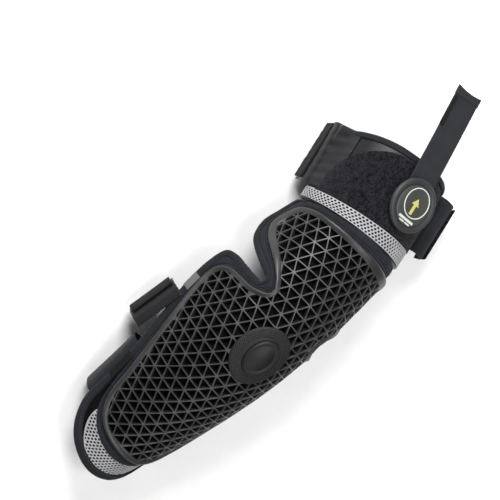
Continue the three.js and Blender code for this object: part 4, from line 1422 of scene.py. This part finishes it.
emblem = extruded("badge_mark", [(x, y - 0.7) for x, y in ((-8.5, -1.6), (1.0, -1.6), (1.0, -4.6), (7.5, 0), (1.0, 4.6), (1.0, 1.6), (-8.5, 1.6))], S1 + 4.3, S1 + 4.75, M_YELLOW)
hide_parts("badge_emblem")
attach(emblem, "upper")
for k, (xa, xb, ya_, yb_) in enumerate(((-15.4, -13.0, -9.6, 9.6), (-17.9, -16.4, -6.8, -0.6), (-17.9, -16.4, 0.6, 6.8))):
    bar = extruded("badge_bar_%d" % (k + 1), [(xa, ya_), (xb, ya_), (xb, yb_), (xa, yb_)], S1 + 4.1, S1 + 4.55, M_WHITE, 0.15)
    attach(bar, "upper")

stud = frame["nodes"]["swivel_stud"]
stud_mat = Nodes("stud_metal", rough=0.35, spec=0.5, metal=1.0)
tc = stud_mat.add("ShaderNodeTexCoord")
sn = stud_mat.noise(tc.outputs["Object"], 900, 3, 0.6)
stud.data.materials.clear()
stud.data.materials.append(stud_mat.finish(stud_mat.ramp(sn, [(0.3, (0.35, 0.35, 0.36)), (0.7, (0.55, 0.55, 0.56))]), stud_mat.math("MULTIPLY_ADD", sn, 0.2, 0.25)))

ANG = 5 * DEG


def strap_local(x, y, z):
    return local(x * math.cos(ANG) - y * math.sin(ANG), x * math.sin(ANG) + y * math.cos(ANG), z)


HALF_W = 15.0
x1 = np.concatenate([np.linspace(-18.6, 26, 36)[:-1], np.linspace(26, 40, 26)[:-1], np.linspace(40, 108.5, 150)])
v = eased(32, (0, 0.006, 0.02))
yw = (2 * v - 1)
X = np.repeat(x1[:, None], len(v), 1)
round_end = np.where(x1 < -4, np.sqrt(np.clip(1 - ((x1 + 4) / 15.0) ** 2, 0.02, 1)), 1.0)
Yg = yw[None, :] * HALF_W * round_end[:, None]
curl = 0.25 * np.sin(np.clip((X - 31) / 77, 0, 1) * math.pi)
P = strap_local(X, Yg, np.full_like(X, (S0 + S1) / 2) + curl)
er = edge_round(np.linspace(0, 1, len(x1)), v, 123, 30, 0.9)
rib_h = 0.10 * np.sin(X / 1.5 * 2 * math.pi) * np.where(np.abs(Yg) > 13.4, 0.2, 1.0)
Nz = np.broadcast_to(upv, P.shape)
strap = plate("strap_web", P, 0.88 * er, M_WEB, N=Nz, lift=rib_h * er, lower=rib_h * er)
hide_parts("strap_anchor", "strap_webbing")
A = ob_area = strap["cloth_a"]
sheet(strap, "stretched")
b0, b1 = world(strap_local(27.5, 0, 2.1)), world(strap_local(35.5, 0, 2.1))
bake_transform(strap)

# folded and sewn tip, a little hollow across
xt = 107.2 + (116.0 - 107.2) * eased(16, (0, 0.03, 0.09))
v = eased(30, (0, 0.006, 0.02))
X = np.repeat(xt[:, None], len(v), 1)
Yt = np.repeat(((2 * v - 1) * 15.3)[None, :], len(xt), 0)
tipc = 1.3 * (1 - ((Yt / 15.3) ** 2)) * ((X - 107.2) / 8.8)
P = strap_local(X - tipc, Yt, np.full_like(X, 2.1) - 0.6 * (1 - (Yt / 15.3) ** 2) * ((X - 107.2) / 8.8))
er = edge_round(np.linspace(0, 1, len(xt)), v, 9, 30, 1.4)
tiph = plate("strap_fold", P, 1.65 * er, M_WEB, N=np.broadcast_to(upv, P.shape), lift=0.08 * np.sin(X / 1.5 * 2 * math.pi))
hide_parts("strap_tip_hem")
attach(tiph, "strap")

u, v = eased(40, (0, 0.01, 0.03)), eased(14, (0, 0.03, 0.08))
X = np.repeat((76 + 30 * u)[:, None], len(v), 1)
Yh = np.repeat((11.4 + 5.0 * v)[None, :], len(u), 0)
P = strap_local(X, Yh, np.full_like(X, 3.55))
er = edge_round(u, v, 30, 9, 0.8)
hp = plate("strap_hook_strip", P, 0.62 * er, M_HOOK, N=np.broadcast_to(upv, P.shape), lift=0.35 * value_noise(len(u), len(v), 2, 51) * er)
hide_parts("strap_hook_patch")
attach(hp, "strap")
sheet(hp, "laid", rests_on=["strap_web"])

# ------------------------------------------------------------------ floor, light, camera
def floor_material():
    n = Nodes("floor_paper", rough=0.9, spec=0.1)
    geo = n.add("ShaderNodeTexCoord").outputs["Object"]
    f = n.noise(geo, 40, 2, 0.5)
    return n.finish(n.ramp(f, [(0.3, (0.90, 0.90, 0.90)), (0.7, (0.93, 0.93, 0.93))]))


me = bpy.data.meshes.new("floor")
me.from_pydata([(-3, -3, -0.0004), (3, -3, -0.0004), (3, 3, -0.0004), (-3, 3, -0.0004)], [], [(0, 1, 2, 3)])
me.materials.append(floor_material())
fl = bpy.data.objects.new("floor", me)
bpy.context.scene.collection.objects.link(fl)

wd = bpy.data.worlds.new("studio")
wd.use_nodes = True
wd.node_tree.nodes["Background"].inputs[0].default_value = (1, 1, 1, 1)
wd.node_tree.nodes["Background"].inputs[1].default_value = 0.24
bpy.context.scene.world = wd
bpy.context.scene.view_settings.view_transform = "Standard"

VIEW = ORIGIN
az, el, roll = 4 * DEG, 60.5 * DEG, 136 * DEG
back = np.array([math.sin(az) * math.cos(el), -math.cos(az) * math.cos(el), math.sin(el)])
right = np.cross([0, 0, 1], back)
right /= np.linalg.norm(right)
up0 = np.cross(back, right)
R2 = math.cos(roll) * right + math.sin(roll) * up0
U2 = -math.sin(roll) * right + math.cos(roll) * up0
T = np.array([0, 0, 60.0]) + VIEW
aim = T + R2 * (250 - 246) / 1.10 + U2 * (335.7 - 250) / 1.10
eye_mm = T + 1600 * back
B3 = (eye_mm - aim) / np.linalg.norm(eye_mm - aim)
R3 = R2 - B3 * (R2 @ B3)
R3 /= np.linalg.norm(R3)
U3 = np.cross(B3, R3)
eye = eye_mm * MM
cam = bpy.data.cameras.new("camera")
cam.sensor_width = 36
cam.lens = 1.10 * np.linalg.norm(eye_mm - aim) / 500 * 36
cam.clip_end = 20
co = bpy.data.objects.new("camera", cam)
bpy.context.scene.collection.objects.link(co)
co.matrix_world = Matrix(((R3[0], U3[0], B3[0], eye[0]), (R3[1], U3[1], B3[1], eye[1]), (R3[2], U3[2], B3[2], eye[2]), (0, 0, 0, 1)))
bpy.context.scene.camera = co


def area_light(name, direction, distance, size, power, target=(0.0, 0.0, 0.05)):
    L = bpy.data.lights.new(name, "AREA")
    L.shape = "SQUARE"
    L.size = size
    L.energy = power
    ob = bpy.data.objects.new(name, L)
    bpy.context.scene.collection.objects.link(ob)
    d = Vector(direction).normalized()
    ob.location = Vector(target) + d * distance
    ob.rotation_euler = d.to_track_quat("Z", "Y").to_euler()
    return ob


area_light("key", (-0.36, -0.83, 0.65), 1.15, 0.5, 21, (-0.10, 0.0, 0.06))
area_light("fill", (0.7, 0.5, 0.8), 1.8, 1.2, 10)
area_light("top", (-0.1, 0.1, 1.0), 1.7, 0.9, 17)
